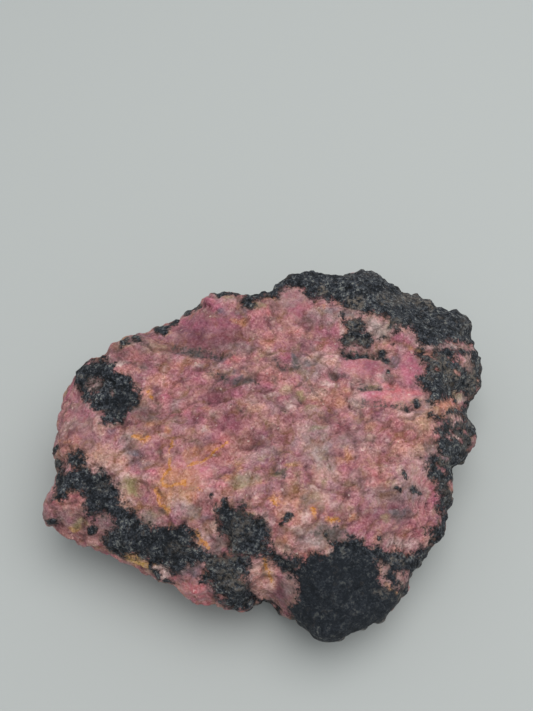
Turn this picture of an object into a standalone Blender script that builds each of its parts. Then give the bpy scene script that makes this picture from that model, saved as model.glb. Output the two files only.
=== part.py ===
"""Rough rhodonite: one broken lump of rose-pink manganese silicate with black
manganese oxide on its weathered sides.

The lump is one solid. It is a thick slab with a broad broken face that leans
a little towards the front, a black shoulder that falls away at the back
right, facets that drop to the front and to both sides, an irregular rim with
a notch at the front, and an underside that runs inwards from the rim to a
flat foot. Z is up, the ground is z = 0, and the face looks up and to -Y.

All sizes below are in millimetres. The mesh is scaled to metres at the end.
"""

import math

import bmesh
import bpy
from mathutils import Matrix, Vector, noise

MM = 0.001
NODE_NAME = "rhodonite_stone"

# The broken face
FACE_HEIGHT = 30.0
FACE_LEAN = 0.09

# The rim in plan, clockwise from the left end
RIM = [
    (-49.3, 4), (-47.5, 13), (-44.5, 18), (-41, 21.5), (-37.5, 26.5), (-32, 28.3),
    (-28.5, 28.8), (-22.5, 31), (-18, 36.8), (-16.5, 38.5), (-13.5, 38.5),
    (-7.5, 37), (-4.5, 37.2), (0, 40.5), (4, 43.5), (6.5, 46),
    (12.5, 46.7), (17, 46.7), (21.5, 47), (24.5, 48.7), (31, 47.7),
    (33, 44), (37, 41), (42, 37.4), (45.2, 36), (48.5, 36.7),
    (51, 29), (51.3, 21), (52.3, 16), (48.2, 12), (45.8, 8.5), (49, 4.5),
    (49, -0.5), (45, -3), (43, -8.5), (42.6, -13.5), (41.2, -18),
    (39.3, -23), (36, -25.5), (31, -28.5), (28.7, -33), (25, -37),
    (20, -40.7), (16.3, -42.3), (12.8, -44), (8.5, -41.3), (3, -36.5),
    (-0.5, -33.5), (-5, -39), (-8, -38.2), (-10.5, -36), (-15.5, -35.8),
    (-19, -33), (-26, -29.3), (-35, -25.5), (-46, -21.5), (-49.5, -18.5),
    (-50.7, -15.5), (-48.5, -11.5), (-47.8, -5),
]

# Sizes round the rim, at bearings of 0, 45, 90 ... 315 degrees from +X
RIM_HEIGHT = (17, 18.5, 19.5, 20, 17, 14, 13, 14)
RIM_WALL = (5, 7, 7, 6, 4, 3, 2.5, 4)
SHOULDER = (3.5, 4.5, 3.5, 3.0, 3.0, 2.5, 3.0, 3.0)

# Fracture planes that cut the face down towards the rim:
# a point on the upper edge, the bearing of the fall and its slope
FACETS = [
    (20, 35, 68, 0.66),
    (38, 17, 10, 0.50),
    (36, -4, -10, 0.85),
    (27, -17, -42, 0.68),
    (12, -23, -84, 0.64),
    (-22, -13, -118, 0.58),
    (-40, 3, 178, 0.60),
    (-25, 21, 122, 0.58),
]
FACET_ROUNDING = 1.6

# Planes of the underside, from the flat foot up to the rim:
# distance of the lower edge from the middle, bearing and slope
UNDERSIDE = [
    (36, -4, 1.00),
    (44, 42, 1.15),
    (35, 92, 1.30),
    (31, 137, 0.95),
    (37, 182, 0.90),
    (23, 237, 0.80),
    (27, 276, 0.62),
    (30, 318, 0.95),
]
UNDERSIDE_ROUNDING = 1.2

# Steps in the face: two ends, the rise on the left-hand side of the line
# (negative for a drop), and how far back the rise fades out
LEDGES = [
    ((-22, 23.5), (-7, 24.5), 1.6, 11),
    ((-14, 18), (-4, 15.5), 0.9, 7),
    ((18, 24.5), (29, 23), 1.5, 8),
    ((-38, 21), (-20, 20), -1.6, 7),
    ((20, 15.5), (34, 9.5), -1.5, 7),
    ((-9, 5.5), (4, 4.5), 0.8, 7),
    ((-17, -5), (-9, 0), 0.9, 6),
    ((-9, -24), (-1, -33), 2.0, 7),
]
LEDGE_WIDTH = 1.8

# Lumps and hollows: centre, radius and height
LUMPS = [
    (-12, 33, 9, 1.8),
    (-39, 15, 7, 1.6),
    (-45, -16, 5, 1.6),
    (0, -31, 5, 1.5),
    (-27, 25, 6, -1.4),
    (8, 12, 6, -1.0),
    (24, 29, 6, -1.2),
    (28, 14, 6, 0.9),
    (42, 16, 7, 1.6),
    (-28, 4, 6, -1.2),
    (-2, -19, 6, 1.0),
    (24, -14, 8, 1.2),
    (14, -34, 9, 1.4),
    (30, 41, 8, 1.8),
    (12, 45, 6, 1.4),
]

# Chips: cells of a size, each a flat tilted its own way by up to one slope on
# level ground and another on the sides
CHIPS = [
    (26.0, 0.05, 0.30),
    (13.0, 0.16, 0.22),
    (6.5, 0.15, 0.20),
]
CHIP_EDGE = 0.07
GRAIN_SPAN = 9.0
GRAIN_DEPTH = 0.6
# The height above which the outline is held, at the same bearings, and how
# much of a chip's depth is kept sideways there
HOLD_HEIGHT = (10, 17, 20, 19, 11, 6, 5, 6)
HOLD_FADE = 7.0
HELD_SHARE = 0.35
# Hollows of the underside shallower than this are left flat, as the foot, and
# the height over which that ends
FOOT_LEVEL = 0.5
FOOT_FADE = 4.0

# The flat blank that is bent into the lump, and the spacing of the two meshes
BLANK_HEIGHT = 9.0
BLANK_SPACING = 1.6
MESH_SPACING = 2.2


def clear_scene():
    """Empties the startup scene."""
    for obj in list(bpy.data.objects):
        bpy.data.objects.remove(obj, do_unlink=True)


def round_rim(bearing, sizes):
    """A size read between its eight values round the rim."""
    turn = (bearing / (2 * math.pi) * len(sizes)) % len(sizes)
    first = int(turn)
    part = turn - first
    blend = part * part * (3 - 2 * part)
    return sizes[first] * (1 - blend) + sizes[(first + 1) % len(sizes)] * blend


def rim_distance(x, y):
    """How far a place in plan lies from the rim."""
    nearest = math.inf
    for (ax, ay), (bx, by) in zip(RIM, RIM[1:] + RIM[:1]):
        along_x, along_y = bx - ax, by - ay
        share = (x - ax) * along_x + (y - ay) * along_y
        share = min(1.0, max(0.0, share / (along_x**2 + along_y**2)))
        gap = math.hypot(x - ax - share * along_x, y - ay - share * along_y)
        nearest = min(nearest, gap)
    return nearest


def soft_lower(first, second, rounding):
    """The lower of two heights, with a rounded edge where they cross."""
    mix = max(0.0, min(1.0, 0.5 + 0.5 * (second - first) / rounding))
    return second * (1 - mix) + first * mix - rounding * mix * (1 - mix)


def fallen_by(x, y, bearing):
    """How far a step in plan goes along a bearing."""
    turn = math.radians(bearing)
    return x * math.cos(turn) + y * math.sin(turn)


def facet_height(x, y):
    """The broken face, cut down by the fracture planes round it."""
    height = FACE_HEIGHT + FACE_LEAN * y
    for edge_x, edge_y, bearing, slope in FACETS:
        fallen = fallen_by(x - edge_x, y - edge_y, bearing)
        plane = FACE_HEIGHT + FACE_LEAN * edge_y - slope * fallen
        height = soft_lower(height, plane, FACET_ROUNDING)
    return height


def underside_height(x, y):
    """The planes of the underside, level over the foot."""
    height = 0.0
    for edge, bearing, slope in UNDERSIDE:
        plane = slope * (fallen_by(x, y, bearing) - edge)
        height = -soft_lower(-height, -plane, UNDERSIDE_ROUNDING)
    return height


def ledge_rise(x, y):
    """What the steps in the face add."""
    total = 0.0
    for (ax, ay), (bx, by), rise, reach in LEDGES:
        length = math.hypot(bx - ax, by - ay)
        along_x, along_y = (bx - ax) / length, (by - ay) / length
        along = (x - ax) * along_x + (y - ay) * along_y
        back = (y - ay) * along_x - (x - ax) * along_y
        if back < -LEDGE_WIDTH:
            continue
        past_end = max(0.0, -along, along - length)
        step = min(1.0, (back + LEDGE_WIDTH) / (2 * LEDGE_WIDTH))
        fade = math.exp(-max(0.0, back) / reach - (past_end / 4) ** 2)
        total += rise * step * step * (3 - 2 * step) * fade
    return total


def lump_rise(x, y):
    """What the lumps and hollows of the face add."""
    total = 0.0
    for centre_x, centre_y, radius, rise in LUMPS:
        gap = ((x - centre_x) ** 2 + (y - centre_y) ** 2) / radius**2
        total += rise * math.exp(-gap)
    return total


def chip_rise(place, steepness):
    """Flat chips that meet in narrow ramps, from tilted cells."""
    total = 0.0
    for size, tilt, side_tilt in CHIPS:
        slope = tilt + (side_tilt - tilt) * steepness
        gaps, centres = noise.voronoi(place / size)
        weights = [math.exp((gaps[0] - gap) / CHIP_EDGE) for gap in gaps]
        for weight, centre in zip(weights, centres):
            lean = 2 * noise.cell_vector(centre * 7.3) - Vector((1, 1, 1))
            rise = slope * (place - centre * size).dot(lean)
            total += rise * weight / sum(weights)
    return total


def grain_rise(place):
    """Soft unevenness of the whole surface."""
    return GRAIN_DEPTH * noise.fractal(place / GRAIN_SPAN, 0.8, 2.1, 3)


def even_quads(mesh, spacing):
    """The same surface, remeshed to even quads."""
    rough = bpy.data.objects.new("rough", mesh)
    bpy.context.scene.collection.objects.link(rough)
    remesh = rough.modifiers.new("even_quads", "REMESH")
    remesh.mode = "VOXEL"
    remesh.voxel_size = spacing
    graph = bpy.context.evaluated_depsgraph_get()
    even = bpy.data.meshes.new_from_object(rough.evaluated_get(graph))
    bpy.data.objects.remove(rough, do_unlink=True)
    return even


def make_blank():
    """A flat prism of the rim's outline."""
    mesh = bpy.data.meshes.new("blank")
    shape = bmesh.new()
    base = shape.faces.new([shape.verts.new((x, y, 0)) for x, y in RIM])
    grown = bmesh.ops.extrude_face_region(shape, geom=[base])
    raised = [v for v in grown["geom"] if isinstance(v, bmesh.types.BMVert)]
    bmesh.ops.translate(shape, vec=(0, 0, BLANK_HEIGHT), verts=raised)
    bmesh.ops.recalc_face_normals(shape, faces=shape.faces)
    shape.to_mesh(mesh)
    shape.free()
    return mesh


def bent_place(place):
    """Where a point of the blank lies on the lump."""
    x, y = place.x, place.y
    share = max(0.0, min(1.0, place.z / BLANK_HEIGHT))
    bearing = math.atan2(y, x)
    inside = rim_distance(x, y)
    rim = round_rim(bearing, RIM_HEIGHT)
    shoulder = 1 - math.exp(-inside / round_rim(bearing, SHOULDER))
    top = rim + (facet_height(x, y) - rim) * shoulder
    top += (ledge_rise(x, y) + lump_rise(x, y)) * shoulder
    most = rim - round_rim(bearing, RIM_WALL) - 0.2 * inside
    bottom = max(0.0, soft_lower(underside_height(x, y), most, 2.0))
    return Vector((x, y, bottom + share * (top - bottom)))


def bend(mesh):
    """Bends the blank into the lump."""
    for vert in mesh.vertices:
        vert.co = bent_place(vert.co)


def roughen(mesh):
    """Chips and roughens the surface, and keeps the foot flat."""
    shifts = []
    for vert in mesh.vertices:
        steepness = vert.normal.xy.length
        rise = chip_rise(vert.co, steepness) + grain_rise(vert.co)
        shift = vert.normal * rise
        hold = round_rim(math.atan2(vert.co.y, vert.co.x), HOLD_HEIGHT)
        held = max(0.0, min(1.0, (vert.co.z - hold) / HOLD_FADE))
        foot = max(0.0, 1 - vert.co.z / FOOT_FADE)
        shift.xy *= (1 - (1 - HELD_SHARE) * held) * (1 - foot)
        shift.z -= FOOT_LEVEL * foot
        shifts.append(shift)
    for vert, shift in zip(mesh.vertices, shifts):
        vert.co += shift
        vert.co.z = max(0.0, vert.co.z)


def centre(mesh):
    """Puts the middle of the lump's plan on the origin."""
    xs = [vert.co.x for vert in mesh.vertices]
    ys = [vert.co.y for vert in mesh.vertices]
    middle = Vector((min(xs) + max(xs), min(ys) + max(ys), 0)) / 2
    mesh.transform(Matrix.Translation(-middle))


def rock_material():
    """Rose-pink massive rhodonite, dull and slightly waxy."""
    material = bpy.data.materials.new("rhodonite")
    material.use_nodes = True
    shader = material.node_tree.nodes["Principled BSDF"]
    shader.inputs["Base Color"].default_value = (0.42, 0.15, 0.16, 1)
    shader.inputs["Roughness"].default_value = 0.62
    shader.inputs["Metallic"].default_value = 0.0
    material.diffuse_color = (0.42, 0.15, 0.16, 1)
    return material


def main():
    clear_scene()
    mesh = even_quads(make_blank(), BLANK_SPACING)
    bend(mesh)
    mesh = even_quads(mesh, MESH_SPACING)
    roughen(mesh)
    centre(mesh)
    mesh.transform(Matrix.Scale(MM, 4))
    mesh.name = NODE_NAME
    mesh.materials.clear()
    mesh.materials.append(rock_material())
    mesh.shade_flat()
    stone = bpy.data.objects.new(NODE_NAME, mesh)
    collection = bpy.data.collections.new("rough_rhodonite")
    bpy.context.scene.collection.children.link(collection)
    collection.objects.link(stone)


main()
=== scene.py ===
# %% [markdown]
# # A rough lump of rhodonite
#
# Rhodonite is a manganese silicate. Broken open it is rose pink, with coral, orange and
# pale mottles. Where air and water reached the manganese, a matt black skin of manganese
# oxide grew over it in ragged patches. The lump here is about as wide as a hand.
#
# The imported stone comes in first. It fixes the size and the main form, and everything
# below is worked out on a copy of it, in the same frame.

import math

import bmesh
import bpy
import numpy as np
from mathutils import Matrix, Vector, noise


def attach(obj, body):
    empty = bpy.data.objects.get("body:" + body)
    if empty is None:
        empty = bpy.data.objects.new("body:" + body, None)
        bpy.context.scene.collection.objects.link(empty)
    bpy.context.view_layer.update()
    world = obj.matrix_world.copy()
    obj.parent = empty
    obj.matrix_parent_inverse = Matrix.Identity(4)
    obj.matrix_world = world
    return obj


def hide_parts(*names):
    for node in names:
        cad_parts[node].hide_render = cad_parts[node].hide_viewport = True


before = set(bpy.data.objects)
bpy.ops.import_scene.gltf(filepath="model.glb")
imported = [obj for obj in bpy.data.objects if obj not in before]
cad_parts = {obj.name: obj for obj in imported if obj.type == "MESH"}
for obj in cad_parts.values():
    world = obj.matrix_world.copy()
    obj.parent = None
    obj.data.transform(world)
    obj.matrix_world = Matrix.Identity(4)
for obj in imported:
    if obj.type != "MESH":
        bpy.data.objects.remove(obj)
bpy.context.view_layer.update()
MM = 0.001
packed_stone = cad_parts["rhodonite_stone"]

# %% [markdown]
# ## Camera
#
# The camera could be placed at the end, but the colours are laid out along its line of
# sight, so it comes first. It looks down at the stone as the photograph does, 55.5
# degrees below level, through a lens of 900 pixels in an upright frame of 533 by 711.

# %% Camera at the photograph's angle
FRAME_WIDE, FRAME_HIGH = 533, 711
LENS_IN_PIXELS = 900
LOOKS_DOWN = 55.5  # degrees
SENSOR = 36  # mm
EYE = np.array([-1.833, -105.189, 202.0])  # mm

camera_data = bpy.data.cameras.new("photo camera")
camera_data.sensor_width = SENSOR
camera_data.lens = LENS_IN_PIXELS / max(FRAME_WIDE, FRAME_HIGH) * SENSOR
camera_data.clip_start = 0.01
camera = bpy.data.objects.new("photo camera", camera_data)
camera.location = Vector(EYE) * MM
camera.rotation_euler = (math.radians(90 - LOOKS_DOWN), 0, 0)
bpy.context.scene.collection.objects.link(camera)
bpy.context.scene.camera = camera
print("lens, mm:", round(camera_data.lens, 2))

# %% [markdown]
# ## A finer copy of the stone
#
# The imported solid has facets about 2 mm across, which are too coarse for the broken
# surface. A sculpt or a voxel remesh could refine it, but cutting each triangle into
# sixteen keeps the form exactly and needs no new outline. The copy's loose triangles are
# merged first, so that smoothing can run over them. A few rounds of smoothing then take
# the corners off the facets. The points of the foot are left out of that, so it stays flat.

# %% Merge, cut and smooth
MERGE_WITHIN = 0.001  # mm
CUTS = 3  # three cuts make four of each edge, and sixteen of each triangle
FOOT_HIGH = 0.05  # mm, below this a point belongs to the flat foot
SMOOTHING_ROUNDS = 3

body = bmesh.new()
body.from_mesh(packed_stone.data)
bmesh.ops.remove_doubles(body, verts=body.verts, dist=MERGE_WITHIN * MM)
bmesh.ops.subdivide_edges(body, edges=body.edges[:], cuts=CUTS, use_grid_fill=True)
loose = [v for v in body.verts if v.co.z > FOOT_HIGH * MM]
for _ in range(SMOOTHING_ROUNDS):
    bmesh.ops.smooth_vert(body, verts=loose, factor=0.5,
                          use_axis_x=True, use_axis_y=True, use_axis_z=True)
body.normal_update()
print("triangles:", len(body.faces), "open edges:", sum(not e.is_manifold for e in body.edges))

# %% [markdown]
# ## Where each point shows in the photograph
#
# The patches were read off the photograph as plain outlines. To lay them on the stone,
# each point of its surface is followed along the camera's line of sight to one slanting
# plane that runs through the middle of the broken face. The two numbers found there, in
# millimetres, are its sight place. `seen` tells how squarely a point faces the camera: 1
# where the photograph decides the colour, 0 on the sides that it can't show. It is read
# from normals averaged over about 3 mm, or each small dent near the rim would count as a
# hidden side.

# %% Sight places
PLANE_HEIGHT, PLANE_SLOPE = 18.946, 0.14  # mm at the middle, and rise towards the back
BROAD_ROUNDS = 24  # rounds of averaging a normal with its neighbours
HIDDEN, WELL_SEEN = -0.12, 0.2  # cosine between that normal and the line of sight


def between(value, low, high):
    """0 below low, 1 above high, and a smooth step from one to the other."""
    share = np.clip((value - low) / (high - low), 0, 1)
    return share * share * (3 - 2 * share)


points = np.array([v.co for v in body.verts]) / MM
normals = np.array([v.normal for v in body.verts])
ray = points - EYE
reach = (EYE[2] - PLANE_HEIGHT - PLANE_SLOPE * EYE[1]) / (PLANE_SLOPE * ray[:, 1] - ray[:, 2])
across, along = (EYE[:2] + reach[:, None] * ray[:, :2]).T
body.verts.index_update()
ends = np.array([[v.index for v in edge.verts] for edge in body.edges]).T
broad = normals.copy()
for _ in range(BROAD_ROUNDS):
    summed = broad.copy()
    np.add.at(summed, ends[0], broad[ends[1]])
    np.add.at(summed, ends[1], broad[ends[0]])
    broad = summed / np.linalg.norm(summed, axis=1)[:, None]
facing = -(broad * ray).sum(1) / np.linalg.norm(ray, axis=1)
seen = between(facing, HIDDEN, WELL_SEEN)
print("share of points the camera sees:", round(float(seen.mean()), 2))

# %% [markdown]
# ## Tools for outlines, lines and spots
#
# Three kinds of mark are enough to lay out the stone: a closed outline, a line, and a
# soft oval spot. Each of the helpers below gives one number for every point of the
# stone. An image would be quicker, but then the finish couldn't be changed by hand.

# %% Distance and spot helpers
FAR = 1e9  # mm, farther than anything
SPOT_FULL, SPOT_END = 0.6, 1.3  # where a soft oval starts to fade and ends, in half widths


def line_distance(line, x, y):
    """Distance in mm to a bent line, given as its corners."""
    least = np.full(len(x), FAR)
    for (ax, ay), (bx, by) in zip(line[:-1], line[1:]):
        ex, ey = bx - ax, by - ay
        share = np.clip(((x - ax) * ex + (y - ay) * ey) / max(ex * ex + ey * ey, 1e-9), 0, 1)
        least = np.minimum(least, np.hypot(x - ax - share * ex, y - ay - share * ey))
    return least


def depth_inside(outline, x, y):
    """Distance in mm to a closed outline, above zero inside it and below zero outside."""
    closed = outline + outline[:1]
    inside = np.zeros(len(x), bool)
    for (ax, ay), (bx, by) in zip(closed[:-1], closed[1:]):
        if ay != by:
            crosses = (ay > y) != (by > y)
            inside ^= crosses & (x < (bx - ax) * (y - ay) / (by - ay) + ax)
    return np.where(inside, 1, -1) * line_distance(closed, x, y)


def spots(marks, x, y):
    """Soft ovals, the strongest of them at each point.

    A mark is x, y, half width, half height and strength, and for a tilted one its turn in
    degrees. All but the last two are in mm.
    """
    most = np.zeros(len(x))
    for cx, cy, wide, high, strength, *turn in marks:
        angle = math.radians(turn[0] if turn else 0)
        u = (x - cx) * math.cos(angle) + (y - cy) * math.sin(angle)
        v = (y - cy) * math.cos(angle) - (x - cx) * math.sin(angle)
        nearness = -np.hypot(u / wide, v / high)
        most = np.maximum(most, strength * between(nearness, -SPOT_END, -SPOT_FULL))
    return most


print("a round spot of 1 mm, at its middle and 1 mm out:",
      spots([(0, 0, 1, 1, 1)], np.array([0.0, 1.0]), np.zeros(2)).round(2))

# %% [markdown]
# ## Black oxide patches
#
# The oxide covers a knob at the upper left, a broad band along the back right rim, the
# right edge, and a chain of patches along the front. Each outline is drawn in sight
# millimetres. Only the main course of an edge is drawn. The ragged fringe comes later,
# in the material. Windows of pink inside a patch are cut out of it.

# %% Outlines of the oxide
OXIDE = {
    "upper left knob": [
        (-42, 18.4), (-43.7, 17.6), (-46, 16.3), (-47.2, 14.9), (-47.8, 13.4), (-47.2, 11.5),
        (-46, 9.5), (-45, 7.6), (-43.3, 6.1), (-42, 4.6), (-40.6, 3.8), (-40, 1.8), (-38.7, 0.6),
        (-37.7, 1.7), (-36, 1.6), (-34.8, 3), (-34.1, 4.6), (-33.3, 6.1), (-32.2, 7.3),
        (-32.2, 8.5), (-33.3, 10.3), (-34.5, 12.2), (-35, 13.4), (-36.8, 13.8), (-37.9, 14.2),
        (-38.7, 15.3), (-38.3, 16.8), (-39.8, 17.2), (-41, 18)],
    "left rim star": [
        (-47.8, -7.6), (-46.8, -6.2), (-45.4, -5.6), (-44.3, -6.4), (-43.7, -7.8), (-44.4, -9),
        (-45.9, -9.6), (-47.3, -9)],
    "left and front band": [
        (-50.4, -10.4), (-48.7, -9.9), (-46.9, -10.8), (-45.7, -9.5), (-43.6, -9.8), (-41.2, -10.6),
        (-39.7, -10.8), (-38.1, -11.6), (-37.7, -12.8), (-35.9, -13.3), (-35.4, -15.3),
        (-35.8, -16.6), (-34.2, -18.3), (-32.2, -19.8), (-30.7, -21.2), (-29.1, -23.2),
        (-26.8, -22.8), (-24.4, -23.3), (-22.5, -23), (-20.1, -23), (-18.9, -23.9), (-17.4, -24.6),
        (-17.9, -25.7), (-18.9, -26.4), (-17, -27.8), (-15, -28.2), (-13.5, -29), (-11.9, -29.8),
        (-6, -29.5), (-5.7, -30.7), (-6, -32.7), (-6.3, -33.7), (-7, -35), (-5.3, -37), (-4, -38.3),
        (-5, -42), (-11, -40.5), (-11, -38.5), (-12.5, -38.2), (-13.3, -37), (-14.2, -35.6),
        (-15.8, -35.2), (-15.2, -32.9), (-15.8, -31.1), (-17.8, -31.3), (-19.7, -32.1),
        (-20.5, -33.3), (-22.1, -33.3), (-23.6, -32.1), (-25.6, -31.1), (-27.1, -32.4),
        (-27.9, -30.5), (-29.9, -29.4), (-32.2, -29.4), (-33.4, -30.4), (-36.1, -28.8),
        (-37.7, -27), (-38.1, -25.5), (-36.5, -24.3), (-35.4, -23.1), (-36.1, -21.2), (-38.1, -20),
        (-38.9, -20.8), (-40.1, -21.2), (-42, -20.8), (-42.4, -18.8), (-42.6, -16.5),
        (-43.6, -15.3), (-45.1, -14.9), (-47.1, -15.7), (-48.1, -17.4), (-49.2, -16.9),
        (-49.2, -14.9), (-50.4, -12.4)],
    "middle patch": [
        (-13.5, -18), (-12.7, -19), (-11.3, -17), (-9.7, -19), (-8.3, -19.3), (-7.2, -17.5),
        (-6.7, -18.2), (-7.3, -20), (-5.3, -20.7), (-3, -21.7), (-2, -23.7), (-1.3, -25),
        (-2, -26.3), (-0.7, -28.3), (0, -29.5), (-0.7, -30.3), (-4.7, -29.3), (-9.5, -30),
        (-9.7, -27.7), (-10.3, -25.7), (-12, -25), (-12.3, -23), (-12.7, -20.7)],
    "bar beside the pink lobe": [
        (-0.7, -29), (1.3, -29.7), (3.3, -29.7), (5.3, -30), (6.3, -30.7), (6.3, -31.7),
        (3.3, -33.7), (2.7, -33.3), (0.7, -32.3), (-0.7, -30.3)],
    "big front patch": [
        (5, -30.4), (5.4, -32.4), (2.7, -33.5), (4.2, -34.7), (5, -37), (5, -38.5), (4.2, -39.7),
        (3.2, -40.8), (3.6, -43), (3, -46), (12, -50), (26, -44), (30, -38), (34, -31.5),
        (37, -27.5), (38.5, -22), (39.5, -19), (37, -19.2), (36.4, -20.5), (36.3, -22),
        (34.8, -23.4), (33.9, -24), (34.2, -26.6), (33.1, -27.8), (31.5, -27.4), (30.4, -29.3),
        (28.8, -29.7), (27.7, -28.6), (26.2, -28.6), (25, -29.1), (23.8, -28.3), (22.7, -27.9),
        (21.5, -28.5), (20, -27.4), (19.2, -26.2), (18.3, -26.4), (17.3, -25.5), (16.2, -25.3),
        (15.4, -26.4), (13.8, -27), (12.7, -27.4), (13.3, -28.2), (12.4, -29.2), (11.2, -29.3),
        (9.8, -29.7), (8.3, -29.3), (7.3, -30.1), (6.6, -31.4)],
    "right rim strip": [
        (36.6, 3.5), (37.8, 3), (39.2, 2.6), (40.2, 3), (41.4, 4), (42.8, 4.8), (45.1, 5.2),
        (48.5, 4), (49, -4.5), (46, -7), (43.5, -7.5), (42, -11), (41, -16), (40, -19),
        (36.6, -19.6), (36.5, -17.9), (36.2, -16.6), (37.1, -16.2), (37.1, -14.4), (36.3, -12.6),
        (35.9, -11.2), (35.3, -10), (34.9, -8.8), (34.9, -7.6), (35.6, -6.2), (37.4, -6.5),
        (37.9, -5.3), (38.1, -4.1), (38.5, -1.8), (37.8, -0.9), (38.6, -0.2), (39, 0.9),
        (38.6, 1.9)],
    "back rim band": [
        (-8, 33.7), (-8.2, 34.5), (-6.5, 36.5), (-2, 39), (2, 42), (6, 45), (24, 46), (33, 41),
        (45, 35), (52, 28), (53, 20), (48.2, 22), (46.6, 22.4), (44.7, 22.8), (42.8, 22.8),
        (41.2, 21.7), (39, 21.4), (37, 21.9), (35.8, 22.8), (35.1, 23.8), (34.7, 25.6),
        (33.5, 26.9), (31.2, 26.7), (30.5, 25), (29.7, 25), (30, 27.4), (29.3, 28.4), (28.9, 29.5),
        (26.2, 30.1), (24.7, 30.5), (21.6, 30.6), (20.3, 31.6), (19.1, 32.2), (17.8, 33.2),
        (15.1, 33.8), (12, 34.6), (10.5, 35), (9, 35.3), (8.2, 36.5), (7, 37.7), (5, 38),
        (2.5, 37.5), (1.5, 36.5), (1.2, 35.3), (-0.5, 35.6), (-1.8, 35.3), (-3, 34.5), (-4.9, 34),
        (-4.6, 33), (-4.8, 32), (-6.3, 32), (-7.4, 32.7)],
    "right patch": [
        (34.5, 19.1), (35.5, 20.1), (36.8, 20.5), (37.6, 19.9), (37.9, 18.4), (38.9, 18),
        (39.4, 19.3), (38.9, 20.5), (41.2, 20.7), (42.8, 20.4), (43.9, 20.2), (46.4, 20.1),
        (47.2, 19.3), (44.2, 19.2), (43.7, 18.5), (44.5, 17.2), (45.5, 15.5), (46.6, 14.3),
        (48.9, 12.8), (50, 11.2), (49, 10), (48.2, 8.9), (47, 7.8), (45.9, 8.4), (44.8, 9.3),
        (42.6, 9), (42.4, 8.2), (40.1, 7.8), (38.9, 7.3), (37.6, 6.2), (36.6, 6.6), (36.6, 8.2),
        (35.8, 9.7), (35.1, 11.6), (34.7, 12.8), (35.5, 13.5), (36.6, 13.9), (37, 15.5),
        (37.4, 15.9), (36.6, 16.6), (36.2, 17.8), (35.5, 18.5)],
    "inner patch": [
        (17.4, 30.4), (18, 28.6), (19.7, 28.8), (21.4, 29.4), (22.2, 27.9), (22.6, 26.4),
        (21.4, 25.4), (22, 24.8), (23.6, 24.6), (24.6, 22.8), (23.4, 21), (21.6, 21.3), (19.7, 22),
        (17.6, 21.6), (16.5, 22.8), (16.9, 24.3), (18, 24.8), (18.6, 25.4), (17.6, 26.8),
        (16.9, 28.4), (16.6, 30.2)],
}
WINDOWS = {
    "hollow in the knob": [
        (-45, 11), (-43.8, 12.4), (-41.7, 12.2), (-41.2, 10.8), (-42.2, 9.6), (-44, 9.2)],
    "pink in the front corner": [
        (22.3, -30.1), (23.8, -30.5), (24.6, -31.6), (24, -33.5), (23.7, -34.4), (24.6, -34.7),
        (25.8, -35.8), (26.2, -36.6), (24.6, -37), (23.5, -36.6), (23, -35.1), (22.8, -33)],
    "pink near the front rim": [
        (26.5, -33), (28.5, -33), (28.7, -34.7), (27.7, -35.5), (26.2, -35.1), (25.6, -34.3)],
    "pink in the right strip": [
        (39.2, 2.7), (40.3, 3.9), (42.2, 4.2), (43.9, 3.2), (44.2, 1.6), (42.8, 1.1), (41.2, 1.9)],
}
BARE = -30.0  # mm, far outside every outline

oxide = np.full(len(points), BARE)
for outline in OXIDE.values():
    oxide = np.maximum(oxide, depth_inside(outline, across, along))
for outline in WINDOWS.values():
    oxide = np.minimum(oxide, -depth_inside(outline, across, along))
print("oxide patches:", len(OXIDE), "share of the seen face:",
      round(float(((oxide > 0) * seen).sum() / seen.sum()), 2))

# %% [markdown]
# ## Oxide on the sides that don't show
#
# Weathering starts from outside, so the back wall and the underside carry more oxide
# than the broken face. Nothing shows how it lies there. A slow three-dimensional noise
# gives patches of the same size, with most on the right and the back, where the rim is
# black, and low down. Noise in space has no seam, so it meets the drawn patches cleanly.

# %% Patches from noise on the hidden sides
PATCH_SIZE = 17.0  # mm, from one hidden patch to the next
PATCH_SWING = 6.5  # mm, how far the noise moves the oxide's edge
CRUST_MEAN, CRUST_SWING = 1.4, 3.2  # mm, added all round, and more on one side than the other
CRUST_BEARING = 15  # degrees from the right towards the back, where the crust is thickest
CRUST_THINS, MIDDLE_HEIGHT = 0.06, 12  # mm less for each mm above this height
DEEPEST = 12  # mm, the layer says no more than this


def noise_at(places, size, octaves=1, shift=0.0):
    """Perlin noise for each place, about -1 to 1, with lumps one `size` apart in mm."""
    moved = Vector((shift, -shift, 2 * shift))
    if octaves == 1:
        return np.array([noise.noise(Vector(p / size) + moved) for p in places])
    return np.array([noise.fractal(Vector(p / size) + moved, 1.0, 2.0, octaves) for p in places])


bearing = np.arctan2(points[:, 1], points[:, 0])
crust_side = CRUST_MEAN + CRUST_SWING * np.cos(bearing - math.radians(CRUST_BEARING))
hidden_oxide = PATCH_SWING * noise_at(points, PATCH_SIZE, 3, 7.3) + crust_side
hidden_oxide -= CRUST_THINS * (points[:, 2] - MIDDLE_HEIGHT)
oxide = seen * oxide + (1 - seen) * hidden_oxide
oxide = np.clip(oxide, -DEEPEST, DEEPEST)
print("share of the whole stone under oxide:", round(float((oxide > 0).mean()), 2))

# %% [markdown]
# Small flecks, thin strips and cracks of oxide are lines and spots. Each one lifts the
# same number above zero, so that patches and flecks share one finish. Thin streaks where
# the oxide has gone press it below zero. All of them come after the hidden sides, so that
# a strip on the rim wraps round it.

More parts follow.
